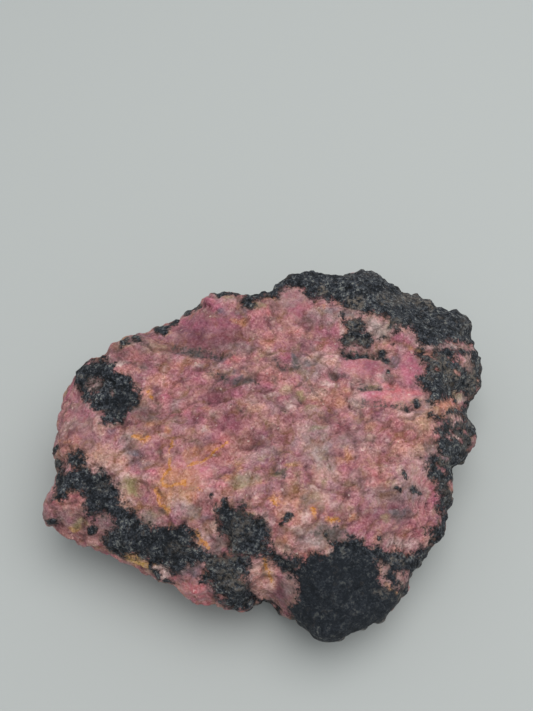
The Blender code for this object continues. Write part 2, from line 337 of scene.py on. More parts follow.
# %% Flecks and thin strips
OXIDE_LINES = [  # half width in mm, corners
    (0.22, [(-37.4, 20.4), (-36, 20.7), (-35, 21)]), (0.35, [(-33.7, 21.4), (-32.7, 21.8)]),
    (0.7, [(48.7, 19.4), (49, 16), (48.6, 13)]),
    (0.5, [(-28.6, 25.6), (-27.2, 25.6), (-25.6, 26.6), (-24, 27.8)]),
    (0.9, [(-27.8, 25.5), (-27.2, 25.7)]),
    (0.6, [(-21.8, 29.9), (-20.3, 31.2), (-19, 32.4), (-18.4, 34)]),
    (0.5, [(-17.6, 35), (-16, 35.9), (-13.6, 35.7)]), (0.3, [(-14, 36), (-9.3, 35.8)]),
    (0.16, [(15.8, 21), (17, 19.4), (18.9, 18.7), (20.5, 18.9), (22.4, 19.1), (23.9, 18.5),
            (25.3, 18.3)]),
    (0.3, [(26.2, 18.6), (26.6, 17.4), (27.3, 16.4)]), (0.2, [(24.9, 9.9), (25.6, 9.6)]),
    (0.35, [(-27.3, -31), (-27, -32.4), (-25, -34)]),
    (0.3, [(-23.6, -34.9), (-22.3, -35.5)]), (0.3, [(26.4, 23.8), (27.8, 23.8)]),
    (0.3, [(-8.7, -35.3), (-3.3, -39.3), (-0.3, -40.3), (1, -42)]),
    (0.6, [(31.5, -14.5), (31.9, -15.1)]), (0.3, [(32.2, -15.2), (33.1, -15.9)]),
    (0.4, [(27.6, -14.3), (28.5, -15)]), (0.45, [(29.7, -10.8), (30, -11.8)]),
    (0.3, [(36.3, 3.8), (38.8, 2.1), (41.2, 0.3), (42.6, -0.4), (44.2, -1.8)]),
    (0.25, [(31.1, 5), (31.9, 4.4)]), (0.4, [(29.3, 28.6), (28.8, 26.6)]),
    (0.3, [(-49.9, -4.6), (-50.3, -6.2)]), (0.4, [(-50, -8.2), (-50.4, -9.6)]),
]
PINK_STREAKS = [  # half width in mm, corners: thin strips where the oxide has gone
    (0.6, [(35, 17.5), (36.4, 16.6)]), (0.5, [(36.6, 19.3), (38.6, 19.6)]),
    (0.35, [(42.2, 18.4), (43.6, 17.2)]), (0.5, [(41.3, -0.6), (42.3, -1.8), (43.4, -3.2)]),
    (0.45, [(40.2, -2), (41.2, -2.8)]), (0.25, [(40.3, 1.7), (41.6, 0.8), (43, 0)]),
    (0.3, [(44.2, -0.6), (45.4, -2)]), (0.9, [(46.2, -2.6), (45.8, -4.4), (45, -5.6)]),
    (0.5, [(38.4, -7.2), (39.3, -7.6)]), (0.5, [(37.2, -8.6), (37.6, -9.6)]),
    (0.4, [(38.2, -9.8), (38.6, -11)]), (0.5, [(39.4, -13), (39.5, -16.8)]),
    (0.3, [(-39, 9.8), (-38.2, 8.4)]), (0.3, [(-44.4, 9.7), (-43.4, 9.3)]),
    (0.3, [(38.6, 15.2), (39.6, 14.8)]), (0.45, [(43.3, 14.6), (43.6, 13.8)]),
]
OXIDE_FLECKS = [  # x, y, radius in mm
    (26.3, 19.2, 0.9), (42.9, 6.7, 0.5), (29.3, 21.9, 0.35), (11.2, -24.7, 0.5), (13.5, -23.4, 0.4),
    (33.8, 6.4, 0.85), (23.1, -25.8, 0.4), (3.3, -20.8, 0.7), (2.3, -21.8, 0.8), (1.4, -22.6, 0.6),
    (-14.3, -16.2, 0.35), (2.3, 4.5, 0.35), (6.3, 7, 0.45), (-40.6, -24.1, 1.1), (-49.2, -22, 0.9),
    (-8.3, -40.8, 0.9), (-4.2, 11.8, 0.3), (27.4, 14.2, 0.4), (27.8, 17.3, 0.4), (45.8, 6.5, 0.6),
]
CRISP = 3.0  # small marks count this many times, so that the ragged fringe can't swallow them

for half_width, line in PINK_STREAKS:
    oxide = np.minimum(oxide, CRISP * (line_distance(line, across, along) - half_width))
for half_width, line in OXIDE_LINES:
    oxide = np.maximum(oxide, CRISP * (half_width - line_distance(line, across, along)))
for x, y, radius in OXIDE_FLECKS:
    oxide = np.maximum(oxide, CRISP * (radius - np.hypot(across - x, along - y)))
print("strips:", len(OXIDE_LINES), "flecks:", len(OXIDE_FLECKS))

# %% [markdown]
# ## Broken surface
#
# Rhodonite breaks in small flat chips, with sugary grain between. A displacement
# modifier could add noise, but plain noise gives soft dunes. Here each point asks which
# chip it belongs to: a Voronoi cell with its own tilt. Its height is that of the
# tilted plane, blended into its neighbours over a narrow edge. Three sizes of chip are
# added up. Thin crevices run between the lumps, where a noise passes through zero. Both
# are flatter where the stone broke smoothly, and oxide fills the crevices a little.

# %% Chips and crevices
CHIPS = [(6.5, 0.12), (3.1, 0.20), (1.7, 0.22)]  # cell in mm, tilt
CHIP_EDGE = 0.08  # share of a cell over which a chip runs into the next
TILT_SPREAD = 3.7  # moves the cells' middles apart, so that each reads a tilt of its own
TILT_GAIN = 2  # the noise's vectors are about half as long as a tilt of 1
CREVICES = [(4.4, 0.50), (2.1, 0.26), (1.1, 0.14)]  # spacing, depth in mm
CREVICE_SHARPNESS = 3.2  # the higher, the narrower
CRUST_STARTS, CRUST_WHOLE = -0.5, 0.9  # mm inside the edge of the oxide
SMOOTH_FLATTENS, OXIDE_FILLS = 0.7, 0.35  # shares of a crevice's depth
CHIP_SEED = 6  # noise_vector starts from the clock unless a seed is set
noise.seed_set(CHIP_SEED)


def chip_heights(places, cell, tilt):
    """Height in mm of tilted chips about one cell across."""
    heights = np.empty(len(places))
    for index, place in enumerate(places):
        here = Vector(place / cell)
        distances, centres = noise.voronoi(here)
        total = share_sum = 0.0
        for distance, centre in zip(distances, centres):
            share = math.exp((distances[0] - distance) / CHIP_EDGE)
            total += share * noise.noise_vector(centre * TILT_SPREAD).dot(here - centre)
            share_sum += share
        heights[index] = total / share_sum * tilt * cell * TILT_GAIN
    return heights


def crevice_depths(places, spacing, shift):
    """0 on the lumps and 1 along thin lines where a noise passes through zero."""
    away = np.abs(noise_at(places, spacing, 1, shift)) * CREVICE_SHARPNESS
    return (1 - np.minimum(away, 1)) ** 2


SMOOTH = [  # x, y, half width, half height, how smooth the stone broke there
    (28, 8, 9, 2.5, 1), (22, 16, 6, 3, .9), (33, 15, 3, 4, .9), (5, 33, 4, 5, .6),
    (-20, -12, 6, 6, .6), (-18, -37, 4, 2, .8), (-17, 26, 9, 5, .6), (-10, 0, 4, 4, .4),
    (15, -38, 14, 11, 1), (33, -12, 3, 5, .6), (25, -22, 5, 3, .5), (-45, 2, 4, 6, .5),
    (10, -18, 5, 3, .5),
]
smooth = spots(SMOOTH, across, along)
rise = sum(chip_heights(points, cell, tilt) for cell, tilt in CHIPS)
crevices = sum(depth * crevice_depths(points, spacing, 5 * spacing) for spacing, depth in CREVICES)
under_oxide = between(oxide, CRUST_STARTS, CRUST_WHOLE)
crevices *= (1 - SMOOTH_FLATTENS * smooth) * (1 - OXIDE_FILLS * under_oxide)
rise += crevices.mean() - crevices
print("chip relief, mm:", np.percentile(rise, [1, 50, 99]).round(2))

# %% [markdown]
# Some creases and ledges are large enough to catch a shadow of their own. They are laid
# along lines, like the strips of oxide. A crease is a soft groove. A ledge is a small step
# whose back side stands higher, and it fades away from its line and towards its ends.

# %% Creases and ledges
CREASES = [  # depth and half width in mm, corners
    (0.7, 0.7, [(-16, 15), (-14.5, 13.8), (-13, 13), (-11, 12.3), (-8.5, 11.7)]),
    (0.5, 0.7, [(-24, 20.8), (-20, 20), (-17, 19.6), (-13, 18.8)]),
    (0.6, 0.6, [(16.6, 19.4), (17.8, 18.8), (20.1, 18.8), (22, 19.2), (25.1, 18.5), (26.4, 19.2)]),
    (0.3, 0.5, [(20.5, 10.8), (23, 10.2), (25.1, 9.8)]),
    (0.6, 0.7, [(20.8, 6.2), (26.6, 6.2), (31.2, 5), (33.5, 5.8)]),
    (0.4, 0.5, [(-0.5, 17.5), (1.5, 15.8), (4, 15.5)]),
    (0.9, 0.9, [(0.8, -30.6), (2, -31.5), (3.2, -33)]),
    (0.5, 0.5, [(-8.7, -35.3), (-3.3, -39.3), (-0.3, -40.3), (1, -42)]),
    (0.4, 0.6, [(0, -10.2), (2, -11.3)]),
]
LEDGES = [  # step and reach in mm, corners from left to right
    (0.9, 2.6, [(15.5, 20.4), (17.8, 18.9), (20.1, 18.8), (22, 19.2), (25.1, 18.5), (27.5, 19.2)]),
    (0.4, 2.2, [(18.5, 11.8), (20.5, 10.8), (23, 10.2), (25.5, 9.8), (28.5, 9.4)]),
    (0.9, 2.6, [(18.5, 7.2), (22, 6.2), (26.6, 6.2), (31.2, 5), (33.5, 5.8), (36, 6.8)]),
    (0.8, 2.4, [(-42, 18.4), (-38, 17.6), (-35, 16.7), (-31, 16.2), (-26, 16)]),
    (0.6, 1.8, [(-40, 19.8), (-36, 20.6), (-33, 21.6), (-30.5, 22.2)]),
    (1.0, 3.0, [(-26, 21.8), (-22, 20.2), (-19.5, 19.3), (-16, 19.4), (-12, 19), (-8, 19.4)]),
    (0.9, 2.2, [(-18, 16.2), (-14.5, 13.8), (-13, 13), (-11, 12.3), (-8.5, 11.7), (-6, 12)]),
    (0.6, 2.0, [(-2.5, 18.4), (0, 17.2), (1.5, 15.9), (4, 15.5), (7, 16)]),
    (0.5, 2.0, [(6, 11), (9, 10.2), (13, 9.4)]),
    (0.5, 1.6, [(-10.5, 5.6), (-7.5, 4.8), (-5, 4)]),
    (0.5, 1.8, [(12.5, 14.8), (15, 13.7), (17.5, 13.2), (20, 12.8)]),
    (0.6, 2.0, [(-8, -20.6), (-5, -20.9), (-3, -22), (-1, -24.4)]),
]
LEDGE_FACE = (-0.3, 0.4)  # mm, from the foot of the step to its top
ENDS_BEYOND, ENDS_WITHIN = 1, 2  # mm past a ledge's last corner and short of it where it fades


def ledge_rise(line, step, reach):
    """A step along a line: up on its back side, down in front, fading away from it."""
    xs, ys = zip(*line)
    side = along - np.interp(across, xs, ys)
    starts = between(across, xs[0] - ENDS_BEYOND, xs[0] + ENDS_WITHIN)
    stops = between(across, xs[-1] - ENDS_WITHIN, xs[-1] + ENDS_BEYOND)
    face = between(side, *LEDGE_FACE) - 0.5
    return step * (starts * (1 - stops)) * face * np.exp(-np.abs(side) / reach)


ledge_rises = [ledge_rise(line, step, reach) for step, reach, line in LEDGES]
crease_depths = [seen * depth * np.exp(-(line_distance(line, across, along) / width) ** 2)
                 for depth, width, line in CREASES]
print("ledges:", len(LEDGES), "creases:", len(CREASES))

# %% [markdown]
# Pits are pressed in as soft ovals, and a few bright chips stand up a little. The rim
# swells in some places, where it reaches further out than the broad form. The last three
# pits press it in.

# %% Pits, raised chips and swells of the rim
PITS = [  # x, y, half width, half height and depth in mm, turn in degrees
    (-7.6, 12, 1.2, 0.9, 0.6), (5.5, 17.5, 0.9, 2.1, 0.7), (9, 16.7, 0.8, 0.6, 0.5),
    (6.4, 7.2, 1.1, 0.8, 0.6), (2.3, 4.5, 0.6, 0.5, 0.5), (-13, 8, 3, 1.6, 0.5),
    (-42.8, 10.9, 1.6, 1, 0.6), (-4.2, 11.8, 0.7, 0.5, 0.4), (14.7, 13.6, 0.8, 0.5, 0.2),
    (2.5, -21.6, 1.2, 1.3, 0.5), (-18.2, -19.3, 1.2, 1.1, 0.4), (-32, -32.6, 7, 1.6, 0.9, -22),
    (-17, -39.6, 4, 1.6, 0.8), (-49.8, -8.4, 1.2, 1.2, 1.2),
]
BUMPS = [
    (-10, 18, 1.8, 0.9, 0.4), (27, 8.5, 6, 1.2, 0.5), (-2.5, -33, 2.5, 2.5, 0.4),
    (-37.6, 16.3, 2, 0.7, 0.4), (8, -21.5, 2.4, 0.9, 0.3), (36, -15, 1.2, 2.5, 0.35),
]
RIM_SWELLS = [
    (-36, 22, 7, 2.4, 1.6), (-30, 25, 3, 1.6, .8), (-17.5, 34.6, 3, 2, 1),
    (46.6, 28.6, 3.5, 3.5, .7), (28, 39, 4, 3, .5), (39.6, -16, 1.6, 6, .8),
    (36.6, -23, 2.4, 4, .9), (43.6, -8.4, 2.6, 2.2, .9), (26.6, -37, 2, 3, .5),
    (12, -46.5, 2.5, 1.6, .3), (-50.5, -20, 2, 4, .8),
]
print("pits:", len(PITS), "raised chips:", len(BUMPS), "swells:", len(RIM_SWELLS))

# %% [markdown]
# All of it is added up to one rise for each point. The oxide lies over the chips as a thin
# lumpy crust. Near the ground the rise fades to nothing, so that the foot stays flat.

# %% Add up the relief
CRUST_LUMP = 2.4  # mm, from one lump of the crust to the next
CRUST_THICK, CRUST_UNEVEN = 0.15, 0.3  # mm
SMOOTH_LEVELS = 0.65  # share of the chips and crust that a smooth break takes away
GROUND_FADE = (0.1, 2.5)  # mm over the ground

crust = under_oxide * (CRUST_THICK + CRUST_UNEVEN * noise_at(points, CRUST_LUMP, 3, 31.0))
rise = (rise + crust) * (1 - SMOOTH_LEVELS * smooth) + spots(RIM_SWELLS, across, along)
rise += seen * sum(ledge_rises)
rise -= sum(crease_depths)
rise += seen * (spots(BUMPS, across, along) - spots(PITS, across, along))
on_ground = 1 - between(points[:, 2], *GROUND_FADE)
rise *= 1 - on_ground
print("relief, mm:", round(float(rise.min()), 2), "to", round(float(rise.max()), 2))

# %% [markdown]
# Each point moves along its own normal by its rise, and none goes below the ground. The
# copy then becomes the stone's own object. That stays at the origin, with its place in
# its mesh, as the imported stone's does.

# %% Push the points out along their normals
for vertex, normal, amount in zip(body.verts, normals, rise):
    vertex.co += Vector(normal) * float(amount) * MM
    vertex.co.z = max(vertex.co.z, 0.0)
body.normal_update()
for face in body.faces:
    face.smooth = True
stone_mesh = bpy.data.meshes.new("rhodonite")
body.to_mesh(stone_mesh)
body.free()
stone = bpy.data.objects.new("rhodonite_broken_stone", stone_mesh)
bpy.context.scene.collection.objects.link(stone)
print("triangles of the finished stone:", len(stone_mesh.polygons))

# %% [markdown]
# ## Tints of the pink
#
# The pink isn't one colour. In the photograph it drifts through plum, wine, magenta,
# coral, orange and ochre, with pale, olive, grey and smoky spots, over 2 to 6 mm. Each
# tint gets its own soft ovals, read off one by one. A picture painted over the stone could
# do the same, but here each spot stays a number that can be changed.

# %% Spots for each tint
# Some ovals are painted light and shade over the stone's own colours. Broad faint smoke ovals, and
# the wine and plum ovals on the slope at the upper left and on the lower left rim, are partly
# painted shade where those faces turn from the light. Pale, coral, orange and ochre ovals on the
# front lobe and along the front rim are partly painted light where the lamp leaves them in shade.
TINTS = {
    "plum": [
        (14, 6, 3, 3, .35), (-12, -37.6, 3, 2, .3), (1.6, -38, 2, 2.4, .6), (27, -18, 5, 3.4, .35),
        (21, 16, 5, 2, .45), (33, 14.4, 3, 4, .55), (-15, 32.4, 3, 2, .5), (31, 14, 4, 4, .4),
        (2, 0, 4, 4, .25), (-38, 2, 3, 3, .3), (-27, 19, 3, 1.4, .4), (-15, 28.4, 3, 1.4, .5),
        (5, 35.4, 2.4, 1.4, .4), (10, 28.6, 3, 1.6, .4), (-19.5, 26, 4.6, 3.6, .95),
        (-17, 22.5, 6.5, 2, .85), (-12, 25.5, 5, 3.6, .6), (-22.5, 22.5, 2.6, 2, .7),
        (-8, 21, 5, 1.6, .5), (-28, 22.4, 3.5, 1.6, .4), (25, -22.5, 4.4, 2.8, .5),
        (-14, 7.8, 3, 1.6, .5), (-46, -20, 3, 3, .3), (30, -17, 3, 3, .4), (0, -3, 5, 3, .35),
        (13, 27, 3, 3, .4), (5, 33, 3, 4, .4), (-6, 9.4, 5, 2, .4), (-11, 1, 3.4, 3, .4),
        (-34, -22, 2, 2, .4), (8, 21, 4, 2, .3), (-45, 4, 3, 5, .3), (17.5, -2, 4, 2.4, .35),
        (3, 27.4, 5, 1.6, .35), (-37.5, -22.6, 2.2, 1.6, .7), (-18.4, -32.8, 3, 1.6, .8)],
    # Smoke: smoky grey-brown marks, and broad faint ovals that are painted shade.
    "smoke_and_shade": [
        (-43, 10.8, 2.4, 2, .4), (-5, -3, 3, 2.4, .18), (-38.6, 9, 1.4, 1.4, .4),
        (-20, 24, 16, 6, .14), (4, 34, 5, 5, .16), (-46, 0, 6, 6, .16), (-33, 0, 6, 3, .14),
        (22, 0, 8, 3, .12), (-20, -12, 4, 3, .16), (-5, -12, 3, 2, .16), (-50.6, -22, 2, 3, .5),
        (9, -18.4, 2, 2.4, .4), (24, -33, 2, 3, .45), (27.6, -34.6, 1.6, 1.4, .35),
        (-18.4, -32.4, 2.6, 1.4, .4), (24, -31.4, 1.4, 2, .35), (28, -30.6, 1.6, 1, .5),
        (48, 14, 1.6, 3, .6), (6.4, -18, 1.6, 2.6, .7), (-28, -21.8, 3, 1, .8),
        (36.4, -4.6, 1.6, 2, .5), (22, 31, 2.6, 1, .5), (-37.6, -22.8, 2, 1, .4),
        (-15.6, -28.4, 1.4, .8, .5), (-5, 32.6, 2.4, 1.2, .4), (23, 20.8, 2, .8, .4),
        (12, -24.6, 3.6, 1.7, .95), (15, -25.7, 2, 1, .8), (9, -26.6, 2, 1, .3),
        (7, -18, 1.4, 2.2, .5), (28.5, -20.6, 2.8, 1.5, .7), (26, -17, 2.4, 2, .2),
        (1.6, -24, 1.6, 1.2, .5), (-29.6, 3, 2.6, 1.4, .7), (-32, 4.6, 2, 1.2, .8),
        (-31.6, -7.2, 3, 2, .25), (-34.4, -5.6, 1.2, 1.4, .6), (-19.4, 19.6, 2.4, 1, .8),
        (5.6, 17.4, 1.2, 2.2, .9), (8.6, 16.8, 1.4, 1, .7), (15, 13.7, 1.6, 1, .3),
        (27.4, 13.4, 1.6, 1.2, .7), (28, 16.6, 1.2, 1.2, .8), (23.6, 27, 1.4, .6, .5),
        (27.6, 24.2, 1.4, .8, .6), (29.5, 4.4, 1.2, .5, .6), (38.8, -8.6, 2, 3, .5),
        (45.6, -4, 1.6, 2, .6), (36.5, -3.4, 1, 1.2, .5), (-27.5, -20, 2.6, 1.2, .6),
        (-18, -19.4, 1.6, 1.4, .8), (-20.6, -21.4, 2, .9, .5), (-28.6, -21.4, 3, 1, .6),
        (-38, -21, 2, 1.2, .5), (-42.4, -22.6, 1.2, 2, .5), (-49, -22.4, 2, 1.4, .7),
        (3.4, -39, 2, 1.6, .5), (2.8, -36.6, 1.8, 2, .5), (26.8, 26.4, 2.4, 1.4, .35),
        (-5, -12, 3, 1.6, .3), (-7.4, 12.2, 2, 1, .8), (-1.5, -12.2, 2.4, 1, .4),
        (1, -10.6, 1.8, .8, .8), (-36, 12.6, 1, 1.4, .5), (-8.4, 31.6, 2, 1, .5),
        (12, 3.6, 1.4, 1, .3), (16.6, -16, 1.4, 1.4, .5), (-11.4, -27, 2.6, 1.2, .4),
        (-8, -36, 2, 2, .5), (10, -.2, 1.6, .8, .4), (42, 4.4, 1, .8, .5)],
    "wine": [
        (30, 9, 5, 2.4, .2), (-17, 8, 8, 5, .22), (-10, 2, 8, 5, .2), (-20, -12, 3, 2.4, .2),
        (-45, -25, 8, 2, .5), (-34, 19, 5, 4, .45), (-38, -24, 3, 1.6, .4), (-11, 1.6, 6, 3, .5),
        (-6.6, -4, 3, 2, .5), (20.6, -21.4, 2.6, 2, .5), (-9, -6, 2, 1.4, .6),
        (12, -11, 1.6, 1.4, .4), (14.6, 4.6, 2, 2, .4), (-36, 16.6, 2, 1, .4), (-3, 17, 3, 1, .4),
        (-4, 27, 2.4, 2, .45), (-17, 24, 5, 2, .4), (-47, 9, 1.4, 2, .4), (-14, 27, 10, 5, .2),
        (-19, 22.8, 5, 1.8, .8), (-11, 23.5, 6, 2.2, .9), (-16, 21.3, 8, 1, .7),
        (-14, 7.8, 3, 1.8, .6), (-30, 3.6, 1.8, 1.1, .9), (-27, .6, 1.5, 1.1, .9),
        (-36, .2, 2.2, 1, .8), (-28.5, 8, 1.6, 1, .7), (-33, 6.6, 1.4, 2, .6),
        (-46.5, -1.3, 2.4, 1.1, .9), (-47, -20.4, 2.4, 1, .5), (-5, -2.6, 2.4, 2.4, .8),
        (1.6, -2.6, 1.8, 1.4, .7), (17.5, -.6, 2.4, 1.1, .9), (-3, 9.6, 1.8, 1.2, .8),
        (21.2, -21, 1.2, .9, .9), (25, -15.5, 3.4, 2, .7), (28, -18.5, 3, 1.6, .5),
        (8, 26.8, 2, 1.4, .6), (-35, 21, 3.6, 1.2, .6), (-29, 20.6, 5.5, 1.4, .7),
        (-30, 17.6, 6, .9, .5), (-48.4, -23.4, 2, 1, .8), (-11.5, 1.5, 4.4, 2.6, .75),
        (-8, -3, 2.6, 2, .6), (-32, 1.6, 3, 1.6, .4), (-45, 0, 3, 2, .35), (36.4, -4.4, 2, 2, .5),
        (9, 6, 2, 3, .25), (8, -1, 2, 4, .2), (1.8, 17.4, 2.6, 1.1, .7), (5.6, 2.8, 2.8, .8, .7),
        (3.3, -37.3, 1.6, 1.6, .8), (1.3, -36.8, 1.6, 1.2, .6), (-8, -39, 2.2, .9, .9),
        (-5.4, -39.6, 2, .7, .6), (-17.5, 2.4, 1.6, 1.1, .8), (-18.8, 5, .8, 2, .5),
        (23.3, -31, .9, 1.8, .7), (27.8, 15.6, 1.4, 1.3, .6), (28, 13.2, 1.6, .8, .7),
        (-14, -11.6, 2, .7, .7), (-12.8, -8.4, 2, 1, .6), (5, -28.8, .9, .6, .9),
        (16.2, -16, 1.4, 1, .9), (23, .6, 1.2, 1.2, .6), (-2, 28, 1.8, 1.3, .6),
        (-6.5, 26.2, 1.6, 1, .5), (3, 1.2, 2, .6, .6), (-8, 4.6, 1.6, .5, .7),
        (-10.5, -1.5, 2, 1.4, .5), (-9.5, 10, 2.4, .7, .5), (31.4, 2.6, 1.2, .6, .5),
        (-4, 13.4, 1.6, .8, .5), (26.6, -27.4, 1.4, 1, .6), (-1, -24, 1.8, .9, .7),
        (-21, 11, 1, 1.4, .4), (21.5, 3.8, 1.6, .7, .4)],
    "magenta": [
        (-22.4, 28.4, 2, 1.2, .8), (-20, 27.6, 4, 1.6, .5), (-13, 27.5, 5, 2, .4),
        (5, 31.6, 2.4, 3.8, .5), (4.6, 36, 2.2, 1.4, .6), (13, 27.5, 3.4, 2.6, .6),
        (14, 22, 2.4, 2.4, .5), (20.5, 16.5, 5, 2.2, .35), (33, 14.4, 2.6, 3, .65),
        (31.6, 23.4, 2.6, 1.4, .9), (33.2, 18.4, 1.6, 1.6, .6), (23.6, 8.1, 3.2, 1.1, .8),
        (-45, 3.4, 2.4, 2, .7), (-49, 9, .9, 2.8, .6), (-30, -11, 3, 1.1, .8),
        (-22, -9, 2.2, 2.2, .8), (-17, -9.4, 2.4, 1.4, .7), (-26, 8, 1.8, 1.4, .5),
        (36, -16, 1.1, 2.6, .8), (33, -19.6, 1.4, 2, .3), (16, -10, 2.6, 1.6, .35),
        (18, -23, 2.4, 1.4, .25), (-11.6, 1.2, 2.8, 2.2, .3), (-17, 13, 3.6, 1.6, .25),
        (-4, 28, 2, 2, .4), (5.5, -5, 1.4, 2, .5), (-15, 33, 2.6, 1.2, .7),
        (-37.8, -22.8, 1.6, 1.2, .6), (38.5, -9.6, 1.3, 1, .9), (-9, 8.4, 2.2, 1.2, .4),
        (2.6, 18.6, 1.8, 1, .5), (-2, 11.6, 1.6, 1, .5), (24.4, -7.4, 1.8, 1.2, .5),
        (30, -8.4, 1.4, 1, .6), (-21, 3.4, 1.6, 1.8, .4), (-8, -27.5, .9, .7, .4),
        (45, 21, 1.4, .5, .7)],
    "coral": [
        (-14, -6, 4, 2.4, .35), (2, 12, 3, 2, .3), (9, -19, 3, 4, .3), (2, -24, 3, 2, .3),
        (-27, -18, 2, 2, .3), (-26, 8, 3, 2, .3), (-28.5, -12, 2.4, 1.4, .6), (26.4, 29, 2, .9, .5),
        (-15, -16.6, 3, 1.6, .6), (-24, -11, 2, 2, .4), (4, -15, 2, 1.4, .4),
        (30.4, 8.9, 5, 1.5, .9), (26.5, 7, 4.4, .8, .8), (21.6, 12, 2.6, .8, .8),
        (28, 10.8, 2.4, 1, .7), (22, -12, 3.6, 1.6, .7), (33.6, -12.6, 1.8, 1.8, .9),
        (29.5, -25, 2.4, 2, .4), (32.4, -22, 1.4, 1.4, .4), (-3.4, -34, 3, 3.4, .7),
        (-.8, -32, 1.6, 1.8, .5), (-18, -36.6, 2.6, 1, 1), (-46, -18, 2.8, 2, .7),
        (-10, 17.8, 1.9, .9, 1), (-3, 31.4, 2.6, 1.6, .6), (13.5, 19.4, 2.6, 1.6, .6),
        (-12, -4, 2.2, 2.4, .6), (6, -26.4, 2.6, 1.5, .3), (40.4, 6.5, 2.3, 1.1, .9),
        (42, 2.5, 1.8, .8, .3), (-21, 5, 2, 1.6, .5), (27.4, -34, 1.3, 1.1, .5),
        (45.8, 17.6, 2, 1.2, 1), (28, 0, 4, 2.6, .5), (23, 13.2, 2, .8, .5), (-20, -12, 2.4, 2, .7),
        (-15.4, -12.6, 1.8, 2.4, .8), (0, 12.6, 2.8, 1.4, .5), (-21.6, -34.5, 1.5, .8, .8),
        (-12, -14, 2, 1.2, .7), (-16.8, -17, 2, 1.2, .6), (11.6, 21.6, 1.4, 1.6, .7),
        (8, 32, 2, 1.6, .4), (15, -.4, 1.6, 1.6, .4), (5, 25, 1.8, 1.8, .5), (-5.5, 30, 2, 1, .4),
        (-14, -38.4, 2, .7, .5)],
    "ochre": [
        (-30.4, -30.8, 3.2, 1.3, 1, -22), (-24.4, -19.6, .7, .8, .9),
        (13.4, -21.8, 1.2, .5, .8, -20), (-1.8, -33.2, .9, 3, .8, 18), (43.6, 8, 1.6, 1.2, .7),
        (-44.4, -23.6, 1.4, .9, .6), (3.6, -8.6, 1.6, .6, .6), (-26, -31.8, 1.6, .6, .6, -25),
        (-22, -13, 5, 5, .22), (40, 5, 3, 3, .3), (-38, -8, 4, 3, .15), (-8, -13, 2, 1.4, .35),
        (25.4, -37.8, 1, .4, .8, -40)],
    "orange": [
        (-28.4, 12.4, 2.4, 1.6, .4), (-30, 9.8, 1.2, 1.6, .5), (-25, 11, 2.6, 1, .4),
        (-40, -4.6, 2, 1.6, .55), (-41.6, -7.4, 1.8, 1.8, .5), (-30.6, -2.8, 2, 1.3, 1),
        (-29.3, 1.4, 1.2, .7, .7), (-25.2, -.6, .7, 1, .7), (-18.5, -6.2, 3, 1.6, .6),
        (-14.4, -5, 2, 1.2, .5), (-25, -12, 1.4, 2.6, .7), (-24.6, -17, 1.6, 1.8, .7),
        (-20, -16.5, 3, 1.6, .6), (-24.4, -20, .9, .8, 1), (-10, -11.6, 2, 1, .7),
        (-4.8, -13.2, 1.6, .9, .7), (-8.3, -9.4, 1, .7, .7), (4.4, -8.6, 1.5, .7, 1),
        (-1.6, 22.4, 2, 1.8, .45), (-8.3, 27.8, 2, .9, .8), (-10.2, 28.6, 1, .8, .6),
        (12.8, 16.8, 2.2, 1.1, .5), (16, 9, 2.6, 2.6, .3), (15.4, 6, 2, 1.2, .45),
        (33, 1, 2.6, 2.6, .3), (30.6, -3.6, 3.4, 3, .3), (17, -6.6, 1.4, 1.7, .9),
        (22.4, .2, 1.8, 1.8, .5), (.1, -17.2, 1.2, .7, 1), (1.4, -15.8, 1, .7, .6),
        (18.1, -20.9, 1.5, .9, .9), (12.9, -21.6, 1.7, .6, 1), (-14.6, -24, 1.6, .8, .4),
        (-16, -26.2, .5, 1.6, .9, -30), (-11.4, -27.5, 1.2, .8, .4), (-22, -13.5, 6, 4, .35),
        (-9, -5, 5, 4, .2), (10, -30, 6, 3, .25), (-46, -6, 4, 3, .35), (-34, -18, 4, 2.4, .5),
        (33.5, -1, 4, 4, .25), (4, -20, 6, 5, .25), (12, 8, 4, 4, .25), (-39, -7, 4, 3, .2),
        (-1.8, -33, .9, 3, .9, 18), (-2.4, -34, 3, 4, .4), (-4, 4.8, 2.8, 1.4, .5),
        (49.2, 14, 1, 2.4, .8), (-21, 17, 3, 1, .5), (-26, 15.6, 3, .8, .3),
        (-48.5, -3.5, .9, .7, .9), (24.6, -36.4, 1, .8, .6), (-1, 34.7, 1.3, .7, .9),
        (12.4, 32.4, 1, .6, .6), (39.6, -15.4, .8, 1.2, 1), (2, -26, 1.5, .9, .7),
        (17.6, -14.6, 1.2, 1.2, .5), (-33.2, -17.3, .7, .6, .9), (33.6, 21, 1, .7, .8),
        (31.4, 26, 1.2, .7, .5), (-16, 5.4, 1.6, .6, .4), (-9.6, -30, 1.4, .6, .4),
        (9, 18.5, 1.2, 1, .4), (-6, 6.2, 1.6, .7, .5)],
    "pale": [
        (32, -9, 4, 4, .3), (24, -16, 5, 2, .25), (-36, -14, 3, 4, .4), (-34, -18, 3, 2.4, .5),
        (20, 6, 3, 3, .3), (12, 18, 4, 3, .4), (-40, -11.5, 2.4, 1, .6), (-40, -6, 4, 4, .25),
        (-22, -18, 3, 2.4, .35), (21, 12, 3, 1.4, .35), (31, -13, 4, 3, .15), (12, -12, 3, 2, .3),
        (-30, -12, 2, 1, .3), (38, 21.4, 3, .8, .6), (44.6, 20.9, 2, .6, .7),
        (46.4, 17.6, 2, 1.4, .6), (36.2, 21.2, 1, 1, .5), (43.8, 7.6, 1.8, 1.4, .9),
        (12, 20.6, 3, 1.4, .35), (-37.5, -10, 3, 1.2, .5), (-15, -16, 2.4, 1.6, .3),
        (-24.6, -33, 3, 1.2, .9), (-19, -31.4, 4, 2.4, .4), (-3, -24, 1.6, 1.4, .5),
